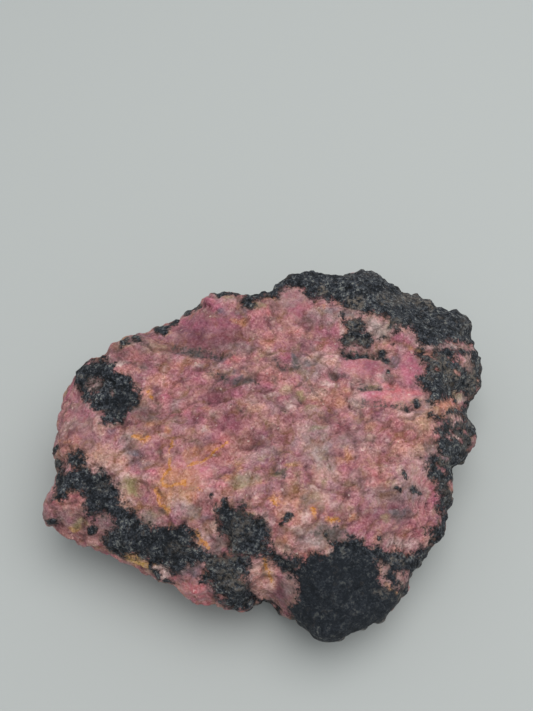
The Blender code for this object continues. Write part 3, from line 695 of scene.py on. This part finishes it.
        (20, -12, 3, 1.4, .3), (31.6, 3.4, 2.4, 1.6, .3), (10.2, -6, 1.8, 2, .7),
        (-4.8, -7.6, 3, 1.4, .3), (-3, -34, 3.4, 4, .5), (-15, -12, 1.6, 1.6, .25),
        (8, -27.2, 3.4, 1.5, .4), (28, -27, 3, 1.3, .5), (-17, -28, 2, 1, .5),
        (7, -21.4, 1.5, 1.2, .7), (9.6, -23, 1.6, 1, .5), (11, -16.5, 2.6, 2, .2),
        (14, -18.4, 1.6, 1, .3), (8.4, 13.4, 2, 1.2, .3), (10.5, 9, 2.4, 1.2, .25),
        (26, 26.3, 2.4, 2, .8), (12.6, 11.6, 2.6, .9, .7), (-38, -8.6, 3, 1, .5),
        (4.8, -24, 2, 1, .6), (12.7, -28.9, 1, .7, 1), (-37.4, 16.4, 1.9, .5, 1),
        (-22, 1, 1.6, 2.4, .3), (33.4, -27, .9, .6, .4), (.2, 8.6, 2, .9, .5),
        (41.8, -2.4, 1.6, .6, .9), (-6, 7, 2, .8, .4), (43, 1, 1.3, 1, .6), (37, 5.6, .9, .9, 1),
        (-1.5, -22.5, 1.5, .7, .4), (31, 20.6, .8, 1.2, .4), (-17.5, -27, .9, .8, 1),
        (-43.7, 9.8, .7, .6, 1), (-38.5, 10.4, .5, .5, 1), (16.8, 25.8, .5, 1.6, .8),
        (29, -27, 1.2, .7, .6), (-8, -6.5, 1.6, 1, .2), (20, 21.4, 2.4, .6, .5),
        (-13.5, 16.4, 2, .7, .4), (9.6, 4.4, 1.4, 1, .2), (-18.5, 16.2, 1.6, .8, .5),
        (4, 6.6, 1.6, 1.2, .4)],
    "lilac grey": [
        (-32.8, -6.5, 1.6, .8, 1), (-30.4, -8.4, 3, 1, .5), (5.2, 17.6, .9, 2.2, 1),
        (14.3, 31.4, 1.3, 1.1, 1), (36, 5.6, 1.6, 1, .6), (4.6, -4, 1.2, 1.6, .5),
        (30.5, -15.4, 1.6, 1.8, .6), (-7.4, 12.2, 2.4, .9, 1), (18, 30.8, 1.7, 1.2, .9),
        (28, -20, 3, 1, .8), (-13, 31.6, 1.4, .8, .7), (9, 16.6, 1.1, .9, 1),
        (-21, 19.8, 3.6, .7, .8), (-13, 18.6, 2, .6, .8), (35.6, -8, 1.1, 1.1, .6),
        (-38.7, 8.8, .6, .5, .6), (-18, -33, 2.5, 1.2, .7), (14, -24.4, 2.2, .8, .8),
        (8, 12.2, 1.8, .8, .7), (-8, 30.8, 1.4, .9, .6), (12.6, -4, 1.4, 1.2, .5),
        (10, -5, 4, 5, .25), (39.3, -7.6, 1.1, .7, 1), (-16, -21.4, 1.9, 1.3, .7),
        (-5.6, -35, .9, 1.1, .6), (29.8, 17.4, 1.3, 1.8, .7), (-.4, -5.4, 1.4, 1, .4),
        (15.4, 13.8, 1.4, .6, .5), (-10.8, 14.6, 1.6, .5, .6), (-2, -7, 4, 4, .2),
        (-33.5, 22.6, 2, .6, .5), (-27.4, 24, 1.6, .7, .5), (6.4, 10.6, 1.6, .6, .5),
        (-38, -.6, 1.2, .8, .5), (-14.6, 9.8, 1, .6, .4), (8.6, -17.6, 1.4, .7, .6),
        (33.5, 3.8, 1, .6, .6)],
    "olive": [
        (-45, -19, 3, 2, .3), (27.4, 26.5, 2, 1.6, .3), (9, -17.6, 2.4, 3, .5),
        (-29, 20.6, 3, 1.6, .4), (-47, -15, 2, 2, .4), (-51, -7, 1.4, 2, .5), (35.4, 1, 2, 3, .4),
        (34, -5, 2, 2, .35), (-12, 35.4, 3, 1, .7), (28.6, 27.6, .8, 1.4, .8),
        (12.4, 37.4, .8, 1.6, .6), (.6, -11, 1.4, .7, 1, 25), (2.1, -10.2, .9, .5, 1),
        (-32.6, -14.3, 2.8, 1.7, 1, -35), (6.3, 8.6, 1.7, 1, .8), (2.8, 10, 1.2, 1.4, .5),
        (10.2, 0, 1.9, .8, .9), (2.3, -20.8, 1.3, 1.2, .6), (35.4, 20.6, 1.2, .7, .7),
        (-36.5, 20, 2.2, .8, .6), (19.5, 32.5, 1.6, 1.2, .6), (-6.6, -12.6, 3.4, 1.8, .9),
        (-5, 32.8, 3, 1.4, .8), (4.4, -14.6, 2.4, 1.4, .4), (-28, -33.4, 2, .8, .5),
        (-44, -22.4, 1, 1.4, 1), (-42, -22.6, 1, .8, .7), (43.6, 8.2, 1.5, 1, 1),
        (-2, 19.2, 3, .6, .7), (8.6, 5, 1.6, 1.2, .5), (27.5, 26, .8, .5, .5),
        (11.6, -7.2, 1.2, .8, .7), (46, 21, 1.8, .6, .4), (17, -13.6, 1.3, 1, .5),
        (25, -21.6, 1, 1, .6), (-28.6, 25.8, .8, .5, 1), (-27, -20, 2.4, 1, .6),
        (24, 10.6, 1.2, .5, .6), (-5.4, -20, 1.6, .6, .6), (3.2, -32.6, .8, 1.4, .7),
        (11, -13.6, .7, 1.4, .6), (-2.8, -7.4, 1, .6, .5), (7, 14.4, 1.6, .9, .5),
        (-23.5, 4.4, 1, .8, .5), (27, 21.8, 1, .6, .5), (5.5, 20.6, 1, 1, .5)],
    "grey veil": [
        (23, 19.6, 5, 1.6, .5), (14, 15, 2, 1.4, .3), (-43, 10.8, 2.4, 2, 1),
        (-38.7, 8.8, 1.2, 1, 1), (42, 2.6, 2.4, 1.6, .8), (24, -32, 2, 3, .6), (3, 35, 5, 3, .6),
        (12, 29.5, 5, 3, .7), (27, 27, 6, 3, .9), (21, 29, 3, 2, .5), (34, 24, 3, 2, .4),
        (33.4, 24, 2.4, 1.6, .6), (41.5, 20.8, 3.4, 1, .8), (48.4, 16.5, 2.4, 5.5, .9),
        (44.6, 8, 2.6, 1.4, .7), (-9, 21, 5, 1.4, .5), (-34, 21, 5, 1.6, .5), (-34, -4, 2, 3.4, .7),
        (10.2, -6.2, 2.2, 2, .9), (11.5, -9, 2.4, 1.4, .7), (20, 30.6, 4, 1.2, .8),
        (-15, -24.4, 2.4, 2, .6), (-28.4, -21, 3, 1.2, .5), (26.6, -26.6, 4, 1.6, .5),
        (-12, 34.4, 4, 1.2, .6), (4, -7.6, 1.6, 1.2, .6), (-6, -12, 3, 2, .5),
        (-19, -19.4, 1.8, 2.2, .8), (-38, -23, 2.4, 2, .7), (-13, -27.5, 2.4, 2, .8),
        (10, -25, 6, 2.6, .9), (27, -35, 2.4, 2.4, .6), (3.6, -36, 1.6, 2, .6),
        (-31, 5, 1.8, 1.4, .6), (-23, 6, 2, 1, .5), (30, -15, 4, 3.4, .5), (-45, 2, 3, 4, .3),
        (9, -3, 5, 7, .55), (18, -3, 5, 3, .3), (8, 16, 4, 3, .6), (-3, 6, 4, 3, .3),
        (24, 24, 4, 2, .6), (-12, -36, 3, 2, .5), (-46, -21, 3, 2.4, .4), (36, 4.5, 3, 1.4, .4)],
}
print("tints:", len(TINTS), "spots:", sum(len(marks) for marks in TINTS.values()))

# %% [markdown]
# The oxide has two tints of its own: patches of grey-tan ash, and places where the soot is
# deepest, which are partly painted shade, most on the big front patch. The orange veins on
# the left half are bent lines.

# %% Ash, deep soot with painted shade, and veins
ASH = [
    (43.2, 14.2, 2, 1.8, .8), (38.9, 15.4, 1.4, 1.2, .6), (20.5, 33.5, 2.4, 2.2, .9),
    (47.5, 12, 1.6, 5, .7), (22.5, -37.5, 2, 1, .4), (26.4, -38, 1, 1, .6),
    (25.6, -30.6, 1.2, 1, .7), (27.2, -31, 1, 1, .6), (-10.5, -29.4, 3, 2, .6),
    (-11, -33, 2.4, 3, .4), (35, 34, 5.5, 1.8, .5), (12.6, -25.2, 3, 1.2, .8),
    (38.8, -8, 1.6, 1.4, .7), (-42.7, 11, 2.2, 1.4, .5), (19.5, 27.6, 2.2, 1.6, .6),
    (20, 23, 3.4, 1.4, .6), (-7.5, -23, 2.6, 3.4, .35), (46.5, 21.5, 3, .8, .7),
    (12.6, 37.4, .9, 2, .8), (35, 36.4, 3, 1.6, .7), (39.4, 33, 2.4, 1.6, .7),
    (27.4, 34.6, 2, 1.4, .5), (-10, -26, 2.4, 2, .5), (-13, -30.6, 3, 1.6, .5),
    (-9, -35, 3, 1.8, .5), (30.6, 27.6, 1.2, 1.4, .6), (-39, -14, 2, 1.4, .3),
    (-21, -28, 3, 1.4, .3), (2.4, 41, 2.4, 1.4, .4), (39.5, 17.5, 3, 1.6, .7), (43, 0, 3, 3, .5),
    (45, -4, 2, 2, .4), (42, 11, 2, 1.6, .3), (38, -15, 1.6, 3, .3), (46.6, 27, 1.4, 3, .3),
    (41, 17, 1.6, 2, .3),
]
# Partly painted shade: these spots darken the oxide most on the big front patch.
DEEP_SOOT_AND_SHADE = [
    (15, -38, 15, 11, 1), (-26, -26.5, 9, 3.6, .3), (-40, -16, 4, 4, .3), (-36, 6, 3, 5, .6),
    (-44, 14, 3, 4, .4), (-8, -23, 4, 5, .4),
]
VEINS = [
    [(-11, -3.2), (-12.4, -5), (-14.6, -7.1), (-16.5, -8), (-18, -8.5), (-19.7, -9.2)],
    [(-24, -2.4), (-24.1, -6.5), (-24, -9.8), (-25.4, -11.4), (-26, -12.6), (-25.2, -13.7),
     (-23.6, -14.1), (-21.7, -13.3), (-20.1, -13.1)],
    [(-26.6, -14.6), (-26.2, -16.5), (-25.6, -18.4), (-24.2, -19.8)],
    [(-17.4, -13.7), (-16.6, -14.9)], [(-33, -2.2), (-31, -2.8), (-29, -2.4)],
    [(-17.4, -24), (-16.2, -25.8), (-14.6, -28)], [(12.4, -21.2), (13.2, -22), (14.6, -21.8)],
    [(8.6, -19.4), (8.7, -21.4)], [(-30, 9.2), (-29.2, 7.6)], [(-0.4, -17.4), (0.6, -18.4)],
    [(-2.4, -30.4), (-1.6, -33), (-1, -35)],
]
print("ash:", len(ASH), "deep soot:", len(DEEP_SOOT_AND_SHADE), "veins:", len(VEINS))

# %% [markdown]
# Every mark now becomes part of a layer: one number for each point of the stone. A noise
# pulls the places about first, which tears the ovals, and by half as much for the veins.
# The dark layer in the creases, partly dust and partly painted shade, and the painted
# shadow at the foot of each ledge are worked out from the creases and ledges of the relief,
# so they lie where those do.
# On the hidden sides a slow noise hands out the same tints.

# %% Work out the layers
TORN_BY = 1.1  # mm, how far a noise pulls the spots out of their oval shape
TEAR_SIZE = 3.0  # mm, from one tear to the next
HIDDEN_SPOT = 7.5  # mm, from one hidden spot of a tint to the next
SPOT_STARTS, SPOT_WHOLE, HIDDEN_STRENGTH = 0.14, 0.5, 0.8
NO_VEIN = 9.0  # mm, too far from a vein to show
HIDDEN_ASH = 0.4
SHADE_AND_DUST_SPREADS = 1.3  # times the half width of its crease
LEDGE_SHADE, LEDGE_SHADE_WIDE, LEDGE_SHADE_LOW = 0.6, 0.5, 0.3  # strength, mm wide, mm in front

torn_across = across + TORN_BY * noise_at(points, TEAR_SIZE, 3, 91.0)
torn_along = along + TORN_BY * noise_at(points, TEAR_SIZE, 3, 97.0)
vein_across, vein_along = (across + torn_across) / 2, (along + torn_along) / 2
tint_layers = {}
for index, (name, marks) in enumerate(TINTS.items()):
    drawn = spots(marks, torn_across, torn_along)
    patchy = noise_at(points, HIDDEN_SPOT, 2, 11.0 + 12.0 * index)
    hidden = between(patchy, SPOT_STARTS, SPOT_WHOLE) * HIDDEN_STRENGTH
    tint_layers[name] = seen * drawn + (1 - seen) * hidden
vein = np.full(len(points), NO_VEIN)
for line in VEINS:
    vein = np.minimum(vein, line_distance(line, vein_across, vein_along))
tint_layers["vein"] = seen * vein + (1 - seen) * NO_VEIN
tint_layers["oxide"] = oxide
tint_layers["ash"] = seen * spots(ASH, torn_across, torn_along) + (1 - seen) * HIDDEN_ASH
tint_layers["crevice"] = crevices / crevices.max()
# Painted shade with some dust along the creases, and painted shadow below each ledge.
shade_and_dust = np.zeros(len(points))
for _, width, line in CREASES:
    gap = line_distance(line, torn_across, torn_along)
    shade_and_dust = np.maximum(shade_and_dust, between(SHADE_AND_DUST_SPREADS * width - gap, -0.5, 0.5))
for _, _, line in LEDGES:
    gap = line_distance(line, torn_across, torn_along + LEDGE_SHADE_LOW)
    shade_and_dust = np.maximum(shade_and_dust, LEDGE_SHADE * between(LEDGE_SHADE_WIDE - gap, -0.4, 0.4))
tint_layers["shade_and_dust"] = seen * shade_and_dust
tint_layers["smooth"] = smooth
tint_layers["deep"] = seen * spots(DEEP_SOOT_AND_SHADE, torn_across, torn_along)
print("layers:", len(tint_layers))

# %% [markdown]
# The layers are stored on the mesh, where the material reads them by name. An attribute
# sticks to the surface, so no tint slides when the stone is moved.

# %% Store every layer on the mesh
for name, values in tint_layers.items():
    layer = stone_mesh.attributes.new(name, "FLOAT", "POINT")
    layer.data.foreach_set("value", values.astype(np.float32))
print("stored:", [a.name for a in stone_mesh.attributes if a.name in tint_layers])

# %% [markdown]
# ## Material: broken rhodonite with manganese oxide
#
# Rhodonite is hard and compact, with an IOR of about 1.73. Freshly broken it has a dull,
# slightly waxy gloss, because each grain turns its own way. The oxide skin is soft and
# matt. One material holds both, and the oxide layer decides between them, so an edge is
# never a seam between two meshes.
#
# A single helper adds a node, its settings and its links. Colours are ordinary hex
# values that one function turns to linear light.

# %% Helpers for colours and nodes
def hex_colour(code):
    """An sRGB hex value as linear red, green, blue and 1."""
    parts = [int(code[i:i + 2], 16) / 255 for i in (1, 3, 5)]
    return [c / 12.92 if c <= 0.04045 else ((c + 0.055) / 1.055) ** 2.4 for c in parts] + [1.0]


def per_metre(size_mm):
    """Texture scale that puts features about size_mm apart on Object coordinates."""
    return 1 / (size_mm * MM)


finish = bpy.data.materials.new("broken_rhodonite_with_manganese_oxide")
finish.use_nodes = True
tree = finish.node_tree
tree.nodes.clear()


def add(kind, inputs=None, out=0, stops=None, **settings):
    """Adds a node to the finish and gives back one of its outputs.

    Each input is a value, or the output of another node. Settings are the node's own
    choices, and stops are the (position, hex) pairs of a colour ramp.
    """
    made = tree.nodes.new("ShaderNode" + kind)
    for name, value in settings.items():
        setattr(made, name, value)
    for socket, value in (inputs or {}).items():
        if isinstance(value, bpy.types.NodeSocket):
            tree.links.new(value, made.inputs[socket])
        else:
            made.inputs[socket].default_value = value
    if stops:
        ramp = made.color_ramp.elements
        ramp[0].position, ramp[1].position = stops[0][0], stops[-1][0]
        for position, _ in stops[1:-1]:
            ramp.new(position)
        for stop, (_, code) in zip(ramp, stops):
            stop.color = hex_colour(code)
    return made.outputs[out] if made.outputs else None


place = add("TexCoord", out="Object")
print("material:", finish.name)

# %% [markdown]
# The pink drifts from mauve through rose to salmon over about 6 mm. Over it lie soft
# mottles of 2 to 5 mm, each from its own noise: grey mauve, olive tan, wine, ochre and a
# pale one. Noise alone looks like cloud, so its coordinates are pulled about a little by
# a second noise. That gives the streaky grain of a rock made of small crystals.

# %% Drift and mottles of the pink
MOTTLES = [  # spacing in mm, where it starts and is full, strength, colour
    (4.6, 0.50, 0.64, 0.45, "#80626b"), (3.4, 0.51, 0.65, 0.40, "#928160"),
    (3.8, 0.52, 0.66, 0.45, "#84505a"), (2.3, 0.54, 0.68, 0.35, "#c08f64"),
    (3.0, 0.54, 0.68, 0.45, "#cfb2ab"),
]
PULLED_BY = 1.0  # mm

swirl = add("TexNoise", {"Vector": place, "Scale": per_metre(2.2), "Detail": 2.0}, "Color")
pull = add("VectorMath", {0: swirl, 1: (PULLED_BY * MM,) * 3}, operation="MULTIPLY")
bent_place = add("VectorMath", {0: place, 1: pull}, operation="ADD")
drift = add("TexNoise", {"Vector": bent_place, "Scale": per_metre(6.0), "Detail": 5.0,
                         "Roughness": 0.62})
colour = add("ValToRGB", {"Fac": drift}, stops=[
    (0.36, "#955a63"), (0.45, "#a86e74"), (0.54, "#b47b7a"), (0.61, "#be8780"),
    (0.68, "#c8968d")])
for index, (spacing, start, full, strength, code) in enumerate(MOTTLES):
    cloud = add("TexNoise", {"Vector": bent_place, "Scale": per_metre(spacing), "Detail": 4.0,
                             "Roughness": 0.64, "W": 2.9 * index}, noise_dimensions="4D")
    share = add("MapRange", {"Value": cloud, "From Min": start, "From Max": full,
                             "To Max": strength})
    colour = add("Mix", {0: share, 6: colour, 7: hex_colour(code)}, 2, data_type="RGBA")
domains = add("TexVoronoi", {"Vector": bent_place, "Scale": per_metre(2.4)}, "Color")
colour = add("Mix", {0: 0.05, 6: colour, 7: domains}, 2, data_type="RGBA", blend_type="OVERLAY")
print("mottles:", len(MOTTLES))

# %% [markdown]
# Each tint layer is broken up by a noise of 1.5 mm before it is mixed in, so that a spot
# looks torn and not painted. The later tints lie over the earlier ones.

# %% Tints over the mottles
TINT_COLOURS = {  # colour, strength
    "plum": ("#744555", 0.80), "wine": ("#6c343c", 0.75), "magenta": ("#ba627a", 0.75),
    "coral": ("#c26d72", 0.75), "ochre": ("#dcae62", 0.80), "orange": ("#c58559", 0.75),
    "pale": ("#dfc2ba", 0.80), "lilac grey": ("#766a76", 0.75), "olive": ("#9c8c62", 0.75),
    "grey veil": ("#a08f8a", 0.65), "smoke_and_shade": ("#57504b", 0.80),
}
LEAST_SHARE, MOST_SHARE = 0.5, 1.2  # times the strength, where the noise is low and high

for index, (name, (code, strength)) in enumerate(TINT_COLOURS.items()):
    layer = add("Attribute", out="Fac", attribute_name=name)
    torn = add("TexNoise", {"Vector": bent_place, "Scale": per_metre(1.5), "Detail": 3.0,
                            "Roughness": 0.6, "W": 3.7 * index}, noise_dimensions="4D")
    share = add("MapRange", {"Value": torn, "From Min": 0.38, "From Max": 0.58,
                             "To Min": LEAST_SHARE * strength, "To Max": MOST_SHARE * strength})
    share = add("Math", {0: layer, 1: share}, operation="MULTIPLY", use_clamp=True)
    colour = add("Mix", {0: share, 6: colour, 7: hex_colour(code)}, 2, data_type="RGBA")
print("tints:", len(TINT_COLOURS))

# %% [markdown]
# Iron and clay settle in the crevices between the lumps, so these are stained plum brown,
# rust or ochre. Along the long creases lies a soot-dark layer, partly dust and partly
# painted shade, and at the foot of the ledges the same layer is the painted shadow of each
# step. Both are layers of the mesh, so the stain and the shade lie exactly where the
# surface dips.

# %% Stained crevices, and painted shade with dust in the creases
grain = add("TexNoise", {"Vector": place, "Scale": per_metre(0.9), "Detail": 4.0, "Roughness": 0.7})
crevice = add("Attribute", out="Fac", attribute_name="crevice")
stain_kind = add("TexNoise", {"Vector": place, "Scale": per_metre(4.5), "Detail": 3.0})
stain = add("ValToRGB", {"Fac": stain_kind}, stops=[
    (0.40, "#5c3a3c"), (0.50, "#7b4f42"), (0.58, "#ae783c")])
stained = add("MapRange", {"Value": crevice, "From Min": 0.25, "From Max": 0.9, "To Max": 0.5})
colour = add("Mix", {0: stained, 6: colour, 7: stain}, 2, data_type="RGBA")
# Painted shade with some dust in the creases, and painted shadow below the ledges.
shade_and_dust = add("Attribute", out="Fac", attribute_name="shade_and_dust")
shade_and_dust_share = add("MapRange", {"Value": grain, "From Min": 0.36, "From Max": 0.56,
                         "To Min": 1.1, "To Max": 0.25})
shade_and_dust_share = add("Math", {0: shade_and_dust, 1: shade_and_dust_share}, operation="MULTIPLY", use_clamp=True)
colour = add("Mix", {0: shade_and_dust_share, 6: colour, 7: hex_colour("#3f3f3c")}, 2, data_type="RGBA")
print("nodes so far:", len(tree.nodes))

# %% [markdown]
# The veins are thin films of iron-stained orange, about 0.4 mm wide. Their layer is the
# distance from the line in mm. The grain's noise is added to it, so that a vein narrows,
# breaks off and starts again.

# %% Orange veins
VEIN_BROKEN_BY = 1.6  # mm, by the grain's noise, which is about 0.5 on average

vein = add("Attribute", out="Fac", attribute_name="vein")
vein = add("Math", {0: grain, 1: VEIN_BROKEN_BY, 2: vein}, operation="MULTIPLY_ADD")
vein_share = add("MapRange", {"Value": vein, "From Min": 1.24, "From Max": 1.02, "To Max": 0.8})
colour = add("Mix", {0: vein_share, 6: colour, 7: hex_colour("#c8853f")}, 2, data_type="RGBA")
print("nodes so far:", len(tree.nodes))

# %% [markdown]
# Sugary grain: crystals of about 0.4 mm, each with a slightly different tone and hue. Real
# grains are nearer 0.2 mm, which is under one pixel here, so they are drawn coarser.
# Overlaying each cell's random colour at a low share keeps the average. Pale grains
# scatter white light and the deep ones keep their red, so the saturation falls as the
# tone rises. Where the stone broke smoothly the grain shows less. A few crystals get a
# painted glint, a pale fleck, as if they turned their face to the light.

# %% Grain of the crystals
crystals = add("TexVoronoi", {"Vector": bent_place, "Scale": per_metre(0.42)}, "Color")
colour = add("Mix", {0: 0.025, 6: colour, 7: crystals}, 2, data_type="RGBA", blend_type="OVERLAY")
grit = add("TexNoise", {"Vector": place, "Scale": per_metre(0.5), "Detail": 3.0, "Roughness": 0.8})
facet = add("SeparateColor", {"Color": crystals}, "Red")
tone = add("Math", {0: facet, 1: 0.46, 2: 0.33}, operation="MULTIPLY_ADD")
tone = add("Math", {0: grit, 1: 0.84, 2: tone}, operation="MULTIPLY_ADD")
redness = add("MapRange", {"Value": tone, "From Min": 0.6, "From Max": 1.3,
                           "To Min": 1.16, "To Max": 0.86})
colour = add("HueSaturation", {"Saturation": redness, "Color": colour})
smooth_share = add("Attribute", out="Fac", attribute_name="smooth")
grain_share = add("MapRange", {"Value": smooth_share, "To Min": 1.0, "To Max": 0.45})
colour = add("Mix", {0: grain_share, 6: colour, 7: tone}, 2, data_type="RGBA",
             blend_type="MULTIPLY")
crystal = add("SeparateColor", {"Color": crystals}, "Green")
# Painted glints: a pale fleck on a few crystals, as if they turned their face to the light.
painted_glint = add("MapRange", {"Value": crystal, "From Min": 0.996, "From Max": 0.998, "To Max": 0.5})
colour = add("Mix", {0: painted_glint, 6: colour, 7: hex_colour("#dcc3b6")}, 2, data_type="RGBA")
print("nodes so far:", len(tree.nodes))

# %% [markdown]
# The oxide's layer is a depth in millimetres. Four noises, of 3 mm down to 0.25, shift it
# before it is cut, which turns the drawn line into a fringe with islands, as the real
# growth has. Just outside the fringe a thin brown-grey film dims the pink.

# %% Fringe of the oxide
FRINGE = [  # size and shift in mm, detail
    (3.0, 1.8, 2.0), (1.1, 1.8, 3.0), (0.45, 1.2, 2.0), (0.25, 0.5, 1.0),
]
depth = add("Attribute", out="Fac", attribute_name="oxide")
for size, reach_mm, detail in FRINGE:
    ragged = add("TexNoise", {"Vector": place, "Scale": per_metre(size), "Detail": detail,
                              "Roughness": 0.6})
    ragged = add("Math", {0: ragged, 1: 2 * reach_mm, 2: -reach_mm}, operation="MULTIPLY_ADD")
    depth = add("Math", {0: depth, 1: ragged}, operation="ADD")
oxide_share = add("MapRange", {"Value": depth, "From Min": -0.7, "From Max": 0.7},
                  interpolation_type="SMOOTHSTEP")
film_share = add("MapRange", {"Value": depth, "From Min": -1.5, "From Max": 0.1, "To Max": 0.55})
colour = add("Mix", {0: film_share, 6: colour, 7: hex_colour("#5e5249")}, 2, data_type="RGBA")
print("fringe noises:", len(FRINGE))

# %% [markdown]
# The oxide is a felt of tiny needles and crusts: nearly black, with painted blue-grey glints
# and a few tan crumbs where other minerals cling to it. Where the soot is deepest it is
# darker and more even, partly painted shade, most on the big front patch. Patches of grey-tan
# ash lie over it. Last, painted shade dims the crevices of the whole stone and painted light
# pales the tops of its lumps.

# %% Colour of the oxide
soot = add("TexNoise", {"Vector": place, "Scale": per_metre(1.7), "Detail": 5.0, "Roughness": 0.75})
soot = add("Math", {0: soot, 1: 2.0, 2: -1.18}, operation="MULTIPLY_ADD")  # more contrast
soot = add("Math", {0: facet, 1: 0.34, 2: soot}, operation="MULTIPLY_ADD")
soot = add("Math", {0: grit, 1: 1.1, 2: soot}, operation="MULTIPLY_ADD")
# The light end of this ramp paints blue-grey glints on the needles.
black = add("ValToRGB", {"Fac": soot}, stops=[
    (0.15, "#07090c"), (0.38, "#1a1e23"), (0.56, "#32363d"), (0.74, "#53575d"),
    (0.94, "#909189")])
crumbs = add("TexNoise", {"Vector": place, "Scale": per_metre(1.9), "Detail": 5.0,
                          "Roughness": 0.8}, noise_dimensions="4D")
crumb_share = add("MapRange", {"Value": crumbs, "From Min": 0.56, "From Max": 0.66, "To Max": 0.55})
black = add("Mix", {0: crumb_share, 6: black, 7: hex_colour("#756a5f")}, 2, data_type="RGBA")
# Deep soot, partly painted shade: darker and more even, most on the big front patch.
deep = add("Attribute", out="Fac", attribute_name="deep")
deep_soot_and_shade_share = add("MapRange", {"Value": deep, "To Max": 0.8})
black = add("Mix", {0: deep_soot_and_shade_share, 6: black, 7: hex_colour("#10161d")}, 2, data_type="RGBA")
ash = add("Attribute", out="Fac", attribute_name="ash")
ash_share = add("MapRange", {"Value": grain, "From Min": 0.44, "From Max": 0.58})
ash_share = add("Math", {0: ash, 1: ash_share}, operation="MULTIPLY", use_clamp=True)
black = add("Mix", {0: ash_share, 6: black, 7: hex_colour("#877c70")}, 2, data_type="RGBA")
colour = add("Mix", {0: oxide_share, 6: colour, 7: black}, 2, data_type="RGBA")
# Painted shade in the crevices of the whole stone, and painted light on the tops of its lumps.
painted_crevice_shade_and_top_light = add("MapRange", {"Value": crevice, "From Max": 0.7, "To Min": 1.13, "To Max": 0.66})
colour = add("Mix", {0: 1.0, 6: colour, 7: painted_crevice_shade_and_top_light}, 2, data_type="RGBA", blend_type="MULTIPLY")
print("nodes so far:", len(tree.nodes))

# %% [markdown]
# Roughness and bump finish the surface. Pink is half matt, and each crystal has its own
# gloss. Oxide is matt and more crusty. The bump uses the same grain and grit as the
# colour, so a dark dot is a small pit as well. It is weaker where the stone broke
# smoothly. Full gloss would lay a grey haze over the black, so the IOR is taken a little
# under rhodonite's own, and the specular level is low.

# %% Gloss, bump and shader
pink_rough = add("MapRange", {"Value": crystal, "To Min": 0.38, "To Max": 0.66})
rough = add("Mix", {0: oxide_share, 2: pink_rough, 3: 0.72})
height = add("Math", {0: grit, 1: 0.5, 2: grain}, operation="MULTIPLY_ADD")
coarse = add("MapRange", {"Value": oxide_share, "To Min": 0.8, "To Max": 2.0})
coarse = add("Math", {0: coarse, 1: grain_share}, operation="MULTIPLY")
height = add("Math", {0: height, 1: coarse}, operation="MULTIPLY")
bump = add("Bump", {"Height": height, "Strength": 1.0, "Distance": 0.6 * MM})
shader = add("BsdfPrincipled", {"Base Color": colour, "Roughness": rough, "Normal": bump,
                                "IOR": 1.6, "Specular IOR Level": 0.2})
add("OutputMaterial", {"Surface": shader})
stone_mesh.materials.append(finish)
print("nodes in the finish:", len(tree.nodes))

# %% [markdown]
# ## Floor and light
#
# The stone lies on a plain pale floor. The light is one large soft lamp above it, a
# little to the right, so the tops of the lumps are lit and their fronts fall into a soft
# shade. An even grey sky fills the shadows.

# %% Floor
FLOOR_HALF = 2.0  # m

floor_mesh = bpy.data.meshes.new("floor")
floor_form = bmesh.new()
bmesh.ops.create_grid(floor_form, x_segments=1, y_segments=1, size=FLOOR_HALF)
floor_form.to_mesh(floor_mesh)
floor_form.free()
floor = bpy.data.objects.new("floor", floor_mesh)
bpy.context.scene.collection.objects.link(floor)
floor_finish = bpy.data.materials.new("matt_pale_paper")
floor_finish.use_nodes = True
paper = floor_finish.node_tree.nodes["Principled BSDF"]
paper.inputs["Base Color"].default_value = hex_colour("#b0b3b0")
paper.inputs["Roughness"].default_value = 0.9
floor_mesh.materials.append(floor_finish)
print("floor, m:", 2 * FLOOR_HALF)

# %% Light
LAMP_ACROSS, LAMP_POWER = 0.8, 3.4  # m, watts
LAMP_PLACE = (0.15, 0.03, 0.66)  # m
SKY_STRENGTH = 0.78

lamp_data = bpy.data.lights.new("soft lamp", "AREA")
lamp_data.shape, lamp_data.size, lamp_data.energy = "DISK", LAMP_ACROSS, LAMP_POWER
lamp = bpy.data.objects.new("soft lamp", lamp_data)
lamp.location = LAMP_PLACE
lamp.rotation_euler = (-Vector(lamp.location)).to_track_quat("-Z", "Y").to_euler()
bpy.context.scene.collection.objects.link(lamp)
world = bpy.data.worlds.new("even sky")
world.use_nodes = True
sky = world.node_tree.nodes["Background"]
sky.inputs["Color"].default_value = hex_colour("#e4e8ec")
sky.inputs["Strength"].default_value = SKY_STRENGTH
bpy.context.scene.world = world
bpy.context.scene.view_settings.view_transform = "Standard"
print("lamp, mm from the stone:", round(lamp.location.length / MM))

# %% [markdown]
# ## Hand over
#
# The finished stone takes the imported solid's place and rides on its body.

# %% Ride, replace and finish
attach(stone, "root")
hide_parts("rhodonite_stone")
bpy.context.view_layer.update()
